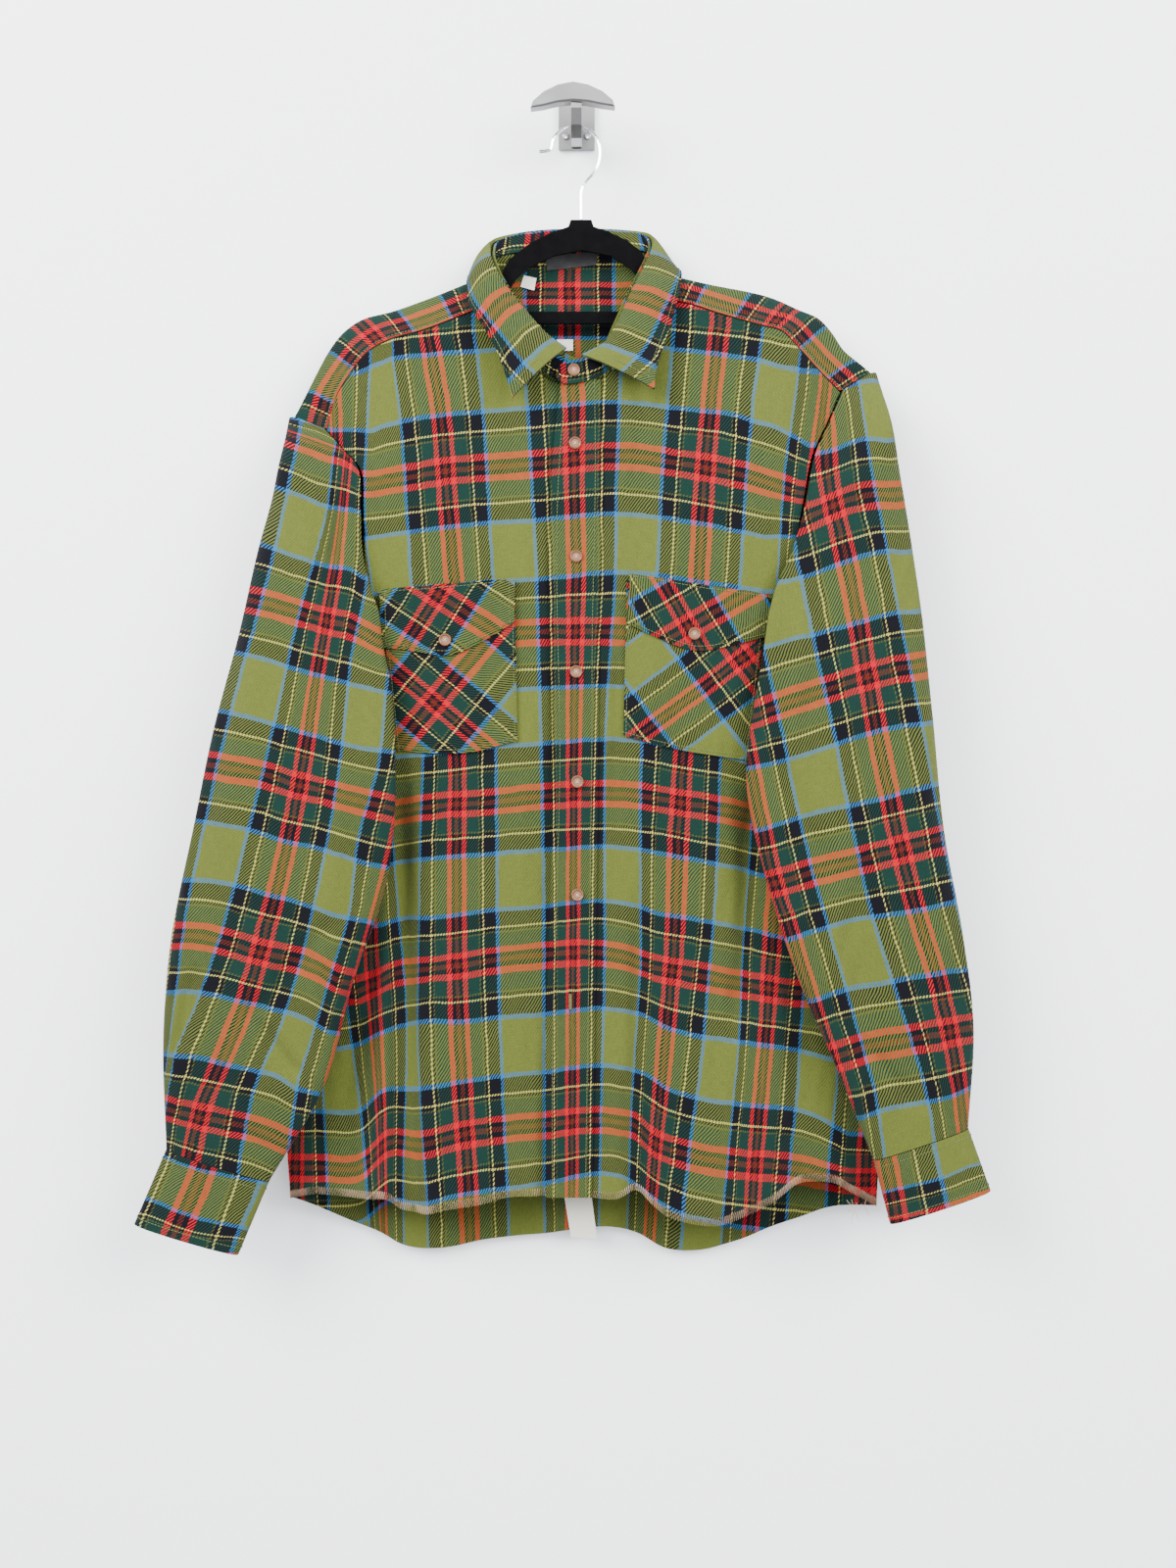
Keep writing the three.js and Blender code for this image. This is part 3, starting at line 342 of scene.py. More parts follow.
SLEEVE_CHECK = {
    "left": {
        "columns": {
            -106.0: [(470, 245), (740, 190), (1010, 150), (1180, 138)],
            -71.7: [(440, 306), (470, 300), (550, 283), (650, 257), (740, 232), (840, 208), (930, 190),
                    (1010, 180), (1075, 172), (1180, 155)],
            -34.3: [(470, 340), (515, 335), (575, 320), (650, 300), (740, 280), (850, 253), (930, 232),
                    (1010, 205), (1080, 175), (1180, 163)],
            0.0: [(450, 356), (520, 348), (600, 338), (710, 320), (805, 305), (930, 277), (1060, 237),
                  (1130, 205), (1180, 192)],
            34.3: [(500, 374), (585, 375), (670, 358), (770, 348), (865, 333), (955, 313), (1045, 287),
                   (1110, 260), (1180, 245)],
            71.7: [(600, 412), (705, 394), (770, 388), (860, 365), (940, 355), (990, 340), (1100, 305)],
            106.0: [(705, 436), (880, 400), (930, 385), (985, 370), (1100, 340)],
        },
        "rows": {
            -186.6: [(300, 428), (330, 437), (352, 452)],
            -141.0: [(295, 443), (330, 455), (355, 464), (368, 475)],
            -95.4: [(283, 497), (300, 503), (330, 515), (360, 520)],
            -45.6: [(268, 556), (300, 568), (330, 577), (360, 583), (370, 590)],
            0.0: [(250, 612), (280, 618), (310, 627), (335, 634), (360, 640), (385, 655)],
            45.6: [(243, 666), (270, 672), (300, 682), (330, 690), (360, 698), (390, 705)],
            95.4: [(225, 726), (250, 731), (280, 740), (310, 748), (340, 757), (370, 764), (400, 768)],
            141.0: [(210, 780), (240, 785), (270, 790), (300, 800), (330, 807), (360, 815), (400, 825)],
            186.6: [(200, 837), (230, 842), (260, 848), (290, 858), (320, 864), (350, 873), (380, 882),
                    (400, 886)],
            236.4: [(185, 898), (220, 900), (250, 906), (280, 915), (310, 923), (340, 933), (370, 940)],
            282.0: [(172, 955), (200, 955), (230, 962), (265, 972), (300, 980), (325, 988), (345, 1000),
                    (360, 1005)],
            327.6: [(165, 1012), (195, 1012), (220, 1015), (250, 1022), (280, 1030), (310, 1038),
                    (335, 1052)],
            377.4: [(170, 1077), (200, 1080), (230, 1087), (260, 1093), (285, 1100), (300, 1112)],
            423.0: [(165, 1130), (200, 1140), (230, 1146), (260, 1152), (290, 1165)],
            468.6: [(165, 1180), (200, 1192), (230, 1200), (260, 1208), (280, 1216)],
        },
    },
    "right": {
        "columns": {
            -106.0: [(740, 758), (760, 762), (830, 775), (900, 790), (945, 805), (1010, 825), (1120, 862)],
            -71.7: [(600, 766), (665, 780), (750, 798), (840, 817), (930, 840), (1020, 866), (1120, 893),
                    (1180, 902)],
            -34.3: [(460, 797), (560, 812), (650, 830), (740, 850), (830, 867), (940, 892), (1030, 920),
                    (1120, 947), (1170, 955)],
            0.0: [(430, 842), (500, 847), (560, 862), (690, 885), (800, 905), (910, 930), (1010, 960),
                  (1120, 980), (1170, 986)],
            34.3: [(400, 878), (500, 893), (570, 907), (640, 920), (740, 940), (830, 957), (940, 980),
                   (1050, 1010), (1150, 1015)],
            71.7: [(400, 905), (500, 930), (640, 955), (830, 992), (1000, 1035), (1150, 1050)],
        },
        "rows": {
            -186.6: [(835, 463), (855, 458), (870, 452), (885, 448), (905, 450)],
            -141.0: [(815, 533), (840, 521), (865, 510), (890, 505), (915, 505)],
            -95.4: [(800, 593), (820, 588), (850, 578), (880, 567), (905, 562), (925, 563)],
            -45.6: [(785, 660), (800, 655), (830, 648), (860, 640), (890, 632), (915, 626), (935, 625)],
            0.0: [(765, 733), (800, 719), (850, 702), (880, 692), (920, 682), (940, 679)],
            45.6: [(765, 783), (790, 778), (820, 770), (850, 760), (880, 750), (910, 742), (945, 738)],
            95.4: [(775, 847), (800, 840), (830, 830), (860, 824), (890, 818), (920, 810), (950, 802)],
            141.0: [(785, 903), (820, 893), (850, 885), (880, 877), (920, 866), (960, 856)],
            186.6: [(800, 960), (830, 950), (860, 941), (900, 934), (940, 928), (970, 921)],
            236.4: [(830, 1022), (860, 1011), (890, 1006), (920, 1000), (950, 995), (985, 990)],
            282.0: [(850, 1080), (880, 1070), (920, 1062), (960, 1055), (995, 1048)],
            327.6: [(880, 1140), (900, 1133), (930, 1127), (960, 1122), (990, 1110)],
            377.4: [(880, 1196), (900, 1190), (930, 1183), (960, 1177), (990, 1166)],
        },
    },
}
CUFF_CHECK = {  # the cuffs are cut across the cloth: columns read the tall check, rows the narrow one
    "left": {
        "columns": {-29.8: [(1190, 170), (1245, 145)], 0.0: [(1200, 205), (1265, 175)],
                    29.8: [(1210, 240), (1270, 218)],
                    45.6: [(1215, 262), (1265, 240)]},
        "rows": {-53.0: [(150, 1195), (200, 1215), (250, 1225)],
                 -34.3: [(155, 1225), (200, 1243), (240, 1252)],
                 -22.3: [(150, 1240), (200, 1258), (250, 1264)],
                 0.0: [(150, 1267), (200, 1285), (250, 1290)]},
    },
    "right": {
        "columns": {0.0: [(1185, 905), (1240, 915)], 29.8: [(1180, 933), (1235, 945)],
                    45.6: [(1180, 955), (1235, 968)]},
        "rows": {-53.0: [(900, 1196), (960, 1180), (990, 1168)],
                 -34.3: [(900, 1217), (940, 1208), (960, 1203), (990, 1190)],
                 -22.3: [(900, 1230), (960, 1215), (1000, 1200)],
                 0.0: [(900, 1252), (960, 1240), (1010, 1222)]},
    },
}

# The shirt's edges, as in the part. Columns are x, y, z.
NECK = {
    "left": [[14, -56, -247], [-22, -57, -240], [-42, -56, -223], [-61, -52, -198], [-74, -44, -172]],
    "back": [[-74, -44, -172], [-79, -35, -144.5], [-70, -24, -128], [-37, -18, -121], [0, -16, -117],
             [36, -18, -119], [64, -24, -125], [73.5, -35, -140], [67, -44, -167]],
    "right": [[19, -60, -241], [43, -58, -220], [57, -52, -195], [67, -44, -167]],
}
YOKE_FRONT = {
    "left": [[-74, -44, -172], [-100, -48, -183], [-130, -50, -195], [-161, -50, -204], [-180, -50, -215],
             [-201, -48, -242], [-208, -46, -255], [-215, -44, -280]],
    "right": [[67, -44, -167], [95, -48, -172], [122, -50, -181], [161, -50, -192], [176, -50, -196],
              [193, -50, -213], [208, -48, -229], [227, -44, -247]],
}
RIDGE = {
    "left": [[-81, -34, -146.5], [-99, -35, -154], [-129, -35, -166], [-160, -35, -177], [-186, -35, -184],
             [-203, -35, -196], [-215, -35, -212], [-225, -36, -231], [-240, -38, -262], [-245, -38, -271]],
    "right": [[75, -34, -142], [89, -35, -147], [114, -35, -153], [166, -35, -164], [194, -35, -176],
              [210, -35, -183], [222, -35, -196], [231, -36, -210], [248, -38, -225], [256, -38, -232]],
}
YOKE_BACK = [[-239, -29, -308], [-200, -26, -276], [-120, -24, -240], [0, -22, -225],
             [120, -24, -232], [208, -26, -254], [246, -29, -276]]
ARMHOLE_FRONT = {
    "left": [[-215, -44, -280], [-199, -50, -298], [-184, -56, -317], [-181, -62, -352], [-180, -64, -386],
             [-178, -64, -428], [-182, -60, -465], [-195, -54, -502], [-213, -45, -523]],
    "right": [[227, -44, -247], [214, -50, -277], [201, -58, -306], [194, -62, -340], [188, -64, -378],
              [188, -64, -411], [194, -60, -448], [206, -54, -479], [222, -45, -493]],
}
ARMHOLE_BACK = {
    "left": [[-239, -29, -308], [-231, -26, -347], [-227, -26, -398], [-225, -28, -450],
             [-221, -34, -493], [-213, -40, -523]],
    "right": [[246, -29, -276], [239, -26, -321], [235, -26, -372], [233, -28, -424], [229, -34, -463],
              [222, -40, -493]],
}
SIDE = {
    "left": [[-213, 0, -523], [-231, 0, -586], [-244, 0, -654], [-253, 0, -722], [-256, 0, -790],
             [-253, 0, -849], [-247, 0, -943]],
    "right": [[222, 0, -493], [240, 0, -561], [251, 0, -628], [259, 0, -705], [263, 0, -790],
              [263, 0, -858], [259, 0, -950]],
}
HEM_FRONT = {
    "left": [[14, -57, -938], [-32, -58.4, -938], [-57, -60, -938], [-82, -60, -944], [-115, -60, -950],
             [-132, -60, -954], [-149, -58, -950], [-162, -54, -941], [-175, -50, -942], [-201, -48, -941],
             [-226, -46, -939], [-247, -41, -943]],
    "right": [[12, -60, -938], [34, -60, -940], [52, -58, -934], [66, -62, -945], [77, -64, -953],
              [93, -66, -958], [114, -66, -961], [131, -64, -958], [165, -60, -944], [190, -56, -929],
              [220, -50, -928], [236, -46, -937], [259, -41, -950]],
}
HEM_BACK = [[-247, -36, -943], [-221, -24, -957], [-196, -18, -969], [-171, -14, -980], [-151, -12, -989],
            [-119, -12, -992], [-76, -12, -985], [-24, -14, -979], [27, -14, -973], [53, -12, -979],
            [79, -12, -993],
            [109, -12, -995], [139, -12, -987], [165, -12, -975], [195, -16, -965], [224, -24, -955],
            [259, -36, -950]]
FRONT_EDGE = {
    "left": [[14, -56, -247], [14, -58.8, -319], [14, -62.8, -386], [14, -67.4, -461], [14, -66, -586],
             [12, -62, -753], [14, -57, -938]],
    "right": [[19, -60, -241], [21, -62, -319], [20, -66, -386], [18, -70, -461], [17, -68, -586],
              [15, -64, -753], [12, -60, -938]],
}
# Long folds. Columns are x at the top, z at the top, x at the foot, z at the foot, half width, depth to
# the wall.
FRONT_FOLDS = {
    "left": [[-150, -590, -140, -940, 11, 11], [-163, -690, -164, -940, 7, -5],
             [-28, -560, -28, -930, 9, 3.5],
             [-190, -780, -205, -940, 14, 6], [-96, -620, -84, -940, 18, -3], [-176, -330, -168, -430, 8, 3]],
    "right": [[152, -590, 142, -760, 12, 10], [56, -690, 50, -940, 9, 6], [96, -780, 112, -940, 26, -4],
              [38, -440, 30, -700, 7, 2.5], [188, -800, 194, -940, 14, 6], [172, -640, 165, -900, 12, -3]],
}
BACK_FOLDS = [[-120, -300, -140, -960, 26, -4], [-60, -330, -76, -960, 22, 3], [20, -300, 24, -960, 28, -3.5],
              [90, -320, 110, -960, 24, 4], [170, -330, 165, -950, 22, -3], [-185, -340, -180, -950, 20, 3]]


def fold_depth(folds, x, z):
    depth = 0
    for x0, z0, x1, z1, half, deep in folds:
        t = (z - z0) / (z1 - z0)
        fade = smooth(clamp(t * 3 + 0.4)) * smooth(clamp((1.3 - t) * 3.4))
        depth = depth + deep * fade * np.exp(-(((x - x0 - (x1 - x0) * t) / half) ** 2))
    return depth


def side_seam(side, layer):
    curve = through(SIDE[side])

    def at(t):
        p = curve(t)
        p[..., 1] = -42.5 + 4 * smooth(clamp(np.asarray(t) * 1.5)) + layer * 1.75
        return p
    return at


def panel(top, foot, inner, outer, roll, a, b):
    """A panel between four edges. Its depth follows the sides, and the top and the hem only near them."""
    head, hem, near, far = top(a), foot(a), inner(b), outer(b)
    ends = [edge(np.array(t)) for t in (0.0, 1.0) for edge in (inner, outer)]
    bend = a ** roll
    flat = mix(mix(ends[0], ends[1], a), mix(ends[2], ends[3], a), b)
    p = mix(near, far, a) + mix(head, hem, b) - flat
    top_depth = head[..., 1] - mix(ends[0], ends[1], bend)[..., 1]
    hem_depth = hem[..., 1] - mix(ends[2], ends[3], bend)[..., 1]
    p[..., 1] = mix(near, far, bend)[..., 1] + top_depth * (1 - b) ** 5 + hem_depth * b ** 6
    return p


def front_grid(side, rows=230, cols=120):
    a, b = grid_of(rows, cols)
    a = 1 - (1 - a) ** 1.25
    outer = joined([[0.42, through(ARMHOLE_FRONT[side])], [0.58, side_seam(side, -1)]])
    top = joined([[0.4, through(NECK[side])], [0.6, through(YOKE_FRONT[side])]])
    p = panel(top, through(HEM_FRONT[side]), through(FRONT_EDGE[side]), outer, 3.4, a, b)
    free = smooth(clamp(b * 6)) * smooth(clamp((1 - a) * 8)) * smooth(clamp(a * 9))
    x, z = p[..., 0], p[..., 2]
    seed = 3 if side == "left" else 4
    p[..., 1] += (fold_depth(FRONT_FOLDS[side], x, z) + 0.9 * ripple(x, z, seed, 46, 6) + 0.35 * ripple(x,
                                                            z, seed + 9, 19, 3)) * free
    p[..., 2] -= 0.3 + 1.3 * (1 - b) ** 8
    return p


def back_grid(rows=200, cols=150):
    a, b = grid_of(rows, cols)
    inner = joined([[0.36, through(ARMHOLE_BACK["left"])], [0.64, side_seam("left", 1)]])
    outer = joined([[0.36, through(ARMHOLE_BACK["right"])], [0.64, side_seam("right", 1)]])
    p = panel(through(YOKE_BACK), through(HEM_BACK), inner, outer, 1, a, b)
    flat = -24 + 11 * smooth(clamp(b * 2.2))
    p[..., 1] = flat + (p[..., 1] - flat) * np.maximum(np.abs(2 * a - 1) ** 5, (1 - b) ** 8)
    free = smooth(clamp(b * 7)) * smooth(clamp(np.minimum(a, 1 - a) * 12))
    x, z = p[..., 0], p[..., 2]
    p[..., 1] = np.minimum(-5,
                           p[..., 1] + (fold_depth(BACK_FOLDS, x, z) + 0.8 * ripple(x, z, 8, 60, 6)) * free)
    p[..., 2] -= 0.6
    return p


NECK_SHARE = 0.16
yoke_front = joined([
    [(1 - 2 * NECK_SHARE) / 2, lambda t: through(YOKE_FRONT["left"])(1 - t)],
    [2 * NECK_SHARE, through(NECK["back"])],
    [(1 - 2 * NECK_SHARE) / 2, through(YOKE_FRONT["right"])],
])
yoke_ridge = {"left": through(RIDGE["left"][::-1]), "right": through(RIDGE["right"])}
yoke_back = through(YOKE_BACK)


def yoke_point(p, q):
    p, q = np.broadcast_arrays(np.asarray(p, float), np.asarray(q, float))
    shoulder = 0.5 - NECK_SHARE
    f, b = yoke_front(p), yoke_back(p)
    near = smooth(clamp(np.minimum(np.abs(p - shoulder), np.abs(p - 1 + shoulder)) / 0.05))
    left, right = yoke_ridge["left"](clamp(p / shoulder)), yoke_ridge["right"](clamp((p - 1
                                                            + shoulder) / shoulder))
    ridge = np.where((p < 0.5)[..., None], left, right)
    middle = (p >= shoulder) & (p <= 1 - shoulder)
    ridge = np.where(middle[..., None], mix(ridge, mix(f, b, np.full(p.shape, 0.12)), near), ridge)
    share = np.where(middle, 0.12 + 0.33 * (1 - near), 0.45)
    t = clamp(np.where(q < share, 0.5 * q / share, 0.5 + 0.5 * (q - share) / (1 - share)))[..., None]
    first = spline_piece(2 * f - ridge, f, ridge, b, 2 * t)
    second = spline_piece(f, ridge, b, 2 * b - ridge, 2 * t - 1)
    return np.where(t < 0.5, first, second)


# Sleeves. Columns are the outer edge x, z, the inner fold x, z, the seam under the arm x, z, and how far
# the front,
# the back at the outer edge and the back at the fold stand out from the wall.
SLEEVE = {
    "left": [
        [-252, -308, -168, -436, -215, -535, 78, 38, 71], [-259, -345, -163, -468, -217, -548, 82, 40, 71],
        [-270, -388, -155, -508, -220, -563, 86, 44, 72], [-286, -462, -152, -560, -224, -588, 91, 48, 72],
        [-306, -540, -152, -605, -222, -607, 94, 52, 71], [-322, -620, -160, -672, -222, -652, 95, 56, 69],
        [-341, -715, -187, -751, -246, -738, 94, 58, 67], [-348, -800, -213, -842, -264, -826, 91, 60, 66],
        [-346, -894, -259, -921, -292, -911, 85, 62, 64]],
    "right": [
        [268, -275, 172, -412, 224, -506, 78, 38, 71], [275, -320, 163, -440, 227, -521, 82, 40, 71],
        [282, -367, 157, -478, 230, -538, 86, 44, 72], [292, -440, 148, -530, 232, -565, 91, 48, 72],
        [301, -530, 143, -585, 226, -600, 94, 52, 71], [310, -625, 158, -660, 216, -650, 95, 56, 69],
        [326, -714, 188, -753, 240, -738, 94, 58, 67], [335, -790, 218, -822, 262, -810, 91, 60, 66],
        [331, -876, 251, -903, 281, -893, 85, 62, 64]],
}
CUFF = {"left": [-373, -957, -285, -983, -320, -973, 86, 60, 63],
        "right": [350, -929, 265, -957, 299, -946, 86, 60, 63]}
SLEEVE_LAP = 3.1
FOLD_AT = 0.56
FRONT_COLS, UNDER_COLS, BACK_COLS = 48, 16, 28
SLEEVE_FOLDS = {
    "left": [[-196, -310, -204, -392, 5, 5], [-190, -300, -176, -352, 6, 5], [-318, -740, -332, -800, 6, 4],
             [-205, -700, -262, -770, 9, 4], [-235, -830, -262, -790, 7, 4],
             [-262, -420, -292, -620, 14, -2.5],
             [-190, -560, -215, -760, 12, -3], [-300, -860, -262, -890, 8, 3],
             [-330, -850, -318, -905, 6, 3]],
    "right": [[222, -250, 206, -320, 5, 5], [236, -262, 232, -330, 8, -3], [190, -450, 176, -560, 10, -3],
              [272, -420, 300, -640, 14, -2.5], [218, -640, 250, -800, 12, 3], [305, -850, 322, -905, 6, 3],
              [238, -800, 280, -850, 8, 3], [165, -560, 200, -640, 9, 3]],
}


def armhole_ring(side):
    """The armhole as a closed ring that the sleeve is lapped on."""
    end, out = (0.0, -1) if side == "left" else (1.0, 1)
    front_seam, back_seam = through(ARMHOLE_FRONT[side]), through(ARMHOLE_BACK[side])
    shoulder = 0.22
    ring = []
    for t in np.linspace(0, 1, FRONT_COLS + 1):
        along = (t - shoulder) / (1 - shoulder)
        p = yoke_point(end, 0.45 * (1 - t / shoulder)) if t < shoulder else front_seam(along * FOLD_AT)
        lap = smooth(clamp(t * 6))
        ring.append(p + SLEEVE_LAP * np.array([out * (1.1 - 0.4 * lap), -lap, (1 - lap) * 0.5]))
    for t in np.linspace(0, 1, UNDER_COLS + 1)[1:]:
        ring.append(front_seam(FOLD_AT + (1 - FOLD_AT) * t) + SLEEVE_LAP * np.array([out * t, -1, 0]))
    for t in np.linspace(0, 1, BACK_COLS + 1)[1:-1]:
        rise = (t - 1 + shoulder) / shoulder
        p = back_seam(1 - t / (1 - shoulder)) if t < 1 - shoulder else yoke_point(end, 1 - 0.55 * rise)
        ring.append(p + SLEEVE_LAP * np.array([out * 1.1, 0.9, 0]))
    return np.array(ring)


def tube_ring(row):
    """One flattened ring of a sleeve or cuff."""
    ox, oz, ix, iz, ux, uz, front, back_out, back_fold = row
    edge = lambda s: (front + back_out) / 2 + (back_fold - back_out) / 2 * s
    round_to = lambda t: np.maximum(0, np.sin(np.pi * t)) ** 0.6
    t = np.linspace(0, 1, FRONT_COLS + 1)
    s = (1 - np.cos(np.pi * t)) / 2
    y = edge(s) + (front - edge(s)) * round_to(t)
    ring = [np.stack([ox + (ix - ox) * s, -y, oz + (iz - oz) * s], -1)]
    total = UNDER_COLS + BACK_COLS
    for k in range(1, total):
        under = k <= UNDER_COLS
        t = k / UNDER_COLS if under else (k - UNDER_COLS) / BACK_COLS
        ease = 1 - math.cos(math.pi * t / 2) if under else math.sin(math.pi * t / 2)
        start, stop = ((ix, iz), (ux, uz)) if under else ((ux, uz), (ox, oz))
        s = 1 - 0.4 * ease if under else 0.6 * (1 - ease)
        back = back_out + (back_fold - back_out) * s
        y = edge(s) + (back - edge(s)) * max(0, math.sin(math.pi * k / total)) ** 0.6
        ring.append(np.array([[start[0] + (stop[0] - start[0]) * ease, -y,
                               start[1] + (stop[1] - start[1]) * ease]]))
    return np.concatenate(ring)


def loft(rings, rows):
    """Rings joined lengthways by smooth curves."""
    p = np.array(rings)
    p = np.concatenate([2 * p[:1] - p[1:2], p, 2 * p[-1:] - p[-2:-1]])
    out = []
    for t in np.linspace(0, 1, rows + 1) * (len(rings) - 1):
        k = min(int(t), len(rings) - 2)
        out.append(spline_piece(p[k], p[k + 1], p[k + 2], p[k + 3], t - k))
    out = np.array(out)
    return np.concatenate([out, out[:, :1]], 1)


def tube_uv(grid, lattice):
    """Cloth coordinates of a flattened tube: its back carries on from its outer edge."""
    uv = check_uv(lattice, grid)
    edge = uv[:, :1, 0].copy()
    back = np.arange(grid.shape[1]) > FRONT_COLS
    uv[:, back, 0] = 2 * edge - uv[:, back, 0]
    return uv


def sleeve_grid(side):
    grid = loft([armhole_ring(side)] + [tube_ring(r) for r in SLEEVE[side]], 190)
    uv = tube_uv(grid, SLEEVE_CHECK[side])
    s = np.linspace(0, 1, FRONT_COLS + 1)
    face = np.zeros(grid.shape[1])
    face[:FRONT_COLS + 1] = smooth(clamp(np.minimum(s, 1 - s) * 6))
    b = np.linspace(0, 1, grid.shape[0])[:, None]
    face = face[None] * smooth(clamp(b * 12)) * smooth(clamp((1 - b) * 14))
    x, z = grid[..., 0], grid[..., 2]
    seed = 21 if side == "left" else 25
    lean = 0.2 if side == "left" else -0.2
    soft = 1.3 * ripple(x + lean * z, z, seed, 60, 4) + 0.5 * ripple(x + lean * z, z, seed + 7, 24, 2.5)
    grid[..., 1] += (fold_depth(SLEEVE_FOLDS[side], x, z) + soft) * face
    return grid, uv


# Collar stand and fall. Columns are the lower edge x, y, z and the roll line x, y, z; the fall's are the
# roll line
# and its free edge.
STAND = [
    [12, -54.5, -245.5, 12, -56, -226], [-10, -56.2, -242.8, -10, -59, -218],
    [-22, -57, -237.6, -23, -62, -207],
    [-42, -56, -221, -38, -59, -188], [-61, -51.2, -196.6, -50, -55, -171],
    [-73, -44, -170.3, -62, -50.5, -153],
    [-77, -39.5, -156.4, -70, -43, -135], [-78, -35, -142.8, -72, -35, -124],
    [-68.6, -24.6, -126.6, -69, -22, -112],
    [-37, -18, -119.8, -40, -14, -102], [0, -16, -115.8, 0, -12, -99], [36, -18, -117.8, 38, -13, -100.5],
    [62.6, -24.8, -123.2, 60, -22, -107], [72.5, -35, -137.9, 63.4, -35, -119],
    [71, -39.5, -150.2, 59.6, -41, -131],
    [66, -44, -164.6, 54, -47, -144], [57, -51.6, -193, 43, -56, -168], [43, -57.4, -217.6, 32, -60.4, -193],
    [25, -61.4, -235.6, 22, -63.5, -214], [5, -64.4, -244, 4, -65, -224], [-12, -65, -245, -12, -65.4, -228],
    [-17, -65.2, -240, -17, -65.4, -234],
]
FALL = [
    [-8, -68.6, -216, -54, -78, -260], [-24, -67, -204, -60, -75, -240], [-40, -63, -186, -67, -71, -220],
    [-53, -58, -169, -78, -66, -199], [-65, -53.5, -151, -91, -57, -177], [-73, -45, -133, -95, -42, -155],
    [-75, -34.5, -121.5, -95, -30, -147], [-73, -20, -109.5, -92, -19, -143],
    [-43, -10.6, -99.6, -55, -8, -141],
    [0, -8.6, -96.6, 0, -7, -141], [41, -9.6, -98, 54, -8, -140], [63.5, -20, -104.5, 86, -18, -139],
    [66.5, -34.5, -116.5, 91, -36, -142], [57.5, -48, -141.5, 88, -53, -166],
    [46.5, -58, -165.5, 80, -63, -196],
    [36, -64, -190, 71, -71, -224], [24, -68, -210.5, 67, -77, -240], [4, -69.8, -222, 66, -79, -253],
]


def band_grid(table, rows, cols, bulge, roll=0):
    """A strip between two lines round the neck, bowed outwards, with a roll over its top edge."""
    low, high = through([r[:3] for r in table]), through([r[3:] for r in table])
    a, b = grid_of(rows, cols)
    p = mix(low(a), high(a), b)
    out = (p - np.array([0, -38, 0])) * np.array([1 / 70, 1 / 26, 0])
    out /= np.linalg.norm(out, axis=-1, keepdims=True)
    p = p + out * (bulge * np.sin(np.pi * b ** 0.6))[..., None]
    if roll:
        turn = np.linspace(math.pi * 0.85, 0, 9)[:-1]
        cap = [p[0] - out[0] * (roll * (1 - math.cos(w))) + np.array([0, 0,
                                                            roll * math.sin(w)]) for w in turn]
        p = np.concatenate([np.array(cap), p])
    return p


def collar_uv(grid):
    """The check follows the collar's length; crossings are set at the places where they show in front."""
    px, py = seen(grid)
    top = grid[8]
    length = np.r_[0, np.cumsum(np.linalg.norm(np.diff(top, axis=0), axis=1))]
    left = length[np.argmin(np.hypot(px[8] - 520, py[8] - 303))]
    right = length[np.argmin(np.hypot(px[8] - 650, py[8] - 300))]
    v = (length - left) / (right - left) * 2 * WEFT
    down = np.concatenate([np.zeros((1, grid.shape[1])),
                           np.cumsum(np.linalg.norm(np.diff(grid, axis=0), axis=2), 0)])
    u = -50 + (down - down[8])
    return np.stack([u, np.broadcast_to(v, u.shape)], -1)


# Placket strip: z and the x of its free edge
PLACKET = [[-940, -26], [-803, -26], [-711, -23], [-586, -19.5], [-294, -19], [-249, -14], [-240, -13]]


def placket_grid():
    a, b = grid_of(260, 14)
    seam = through(FRONT_EDGE["right"])(b)
    free = line_at(PLACKET, seam[..., 2])
    p = seam.copy()
    p[..., 0] = free + (seam[..., 0] + 1.4 - free) * a
    p[..., 1] = seam[..., 1] - 1.6 - 0.5 * np.sin(np.pi * a) - 0.35 * ripple(p[..., 0] * 0.2, p[..., 2],
                                                            51, 60, 0.6)
    p[..., 2] -= 0.4
    return p


# Pockets and flaps: x, z of the corners, the foot read from left to right
POCKET = {
    "left": {"top": [[-167, -422], [-52, -415]],
             "foot": [[-153, -557], [-122, -560], [-89, -559], [-50, -549]]},
    "right": {"top": [[43, -413], [163, -428]], "foot": [[40, -545], [66, -552], [93, -558], [146, -566]]},
}
FLAP = {
    "left": {"top": [[-167, -421], [-52, -412]],
             "foot": [[-166, -470], [-140, -473], [-108, -477], [-81, -466], [-52, -449]]},
    "right": {"top": [[46, -408], [164, -426]],
              "foot": [[43, -450], [70, -463], [101, -473], [130, -469], [164, -460]]},
}
POCKET_LIFT = 2.4
FLAP_LIFT = 5.0
# How the bias-cut check lies on them: pixel of a red crossing, lean of the lines in degrees, and
# whether they swap
BIAS = {
    ("pocket", "left"): (443, 717, 40, False), ("flap", "left"): (447, 607, 33, True),
    ("pocket", "right"): (757, 672, -37, False), ("flap", "right"): (703, 640, -30, True),
}


def surface_of(*objs):
    verts, faces = [], []
    for o in objs:
        faces += [[v + len(verts) for v in f.vertices] for f in o.data.polygons]
        verts += [v.co.copy() for v in o.data.vertices]
    return BVHTree.FromPolygons(verts, faces)


MISSED = -60.0  # depth taken where a pocket reaches past the front


def lie_on(tree, x, z, lift):
    """Places at x, z that lie lift in front of a surface."""
    out = np.zeros(x.shape + (3,))
    lift = np.broadcast_to(lift, x.shape)
    for k in np.ndindex(x.shape):
        hit = tree.ray_cast(Vector((x[k] * MM, -0.3, z[k] * MM)), Vector((0, 1, 0)))[0]
        out[k] = (x[k], (hit.y / MM if hit else MISSED) - lift[k], z[k])
    return out


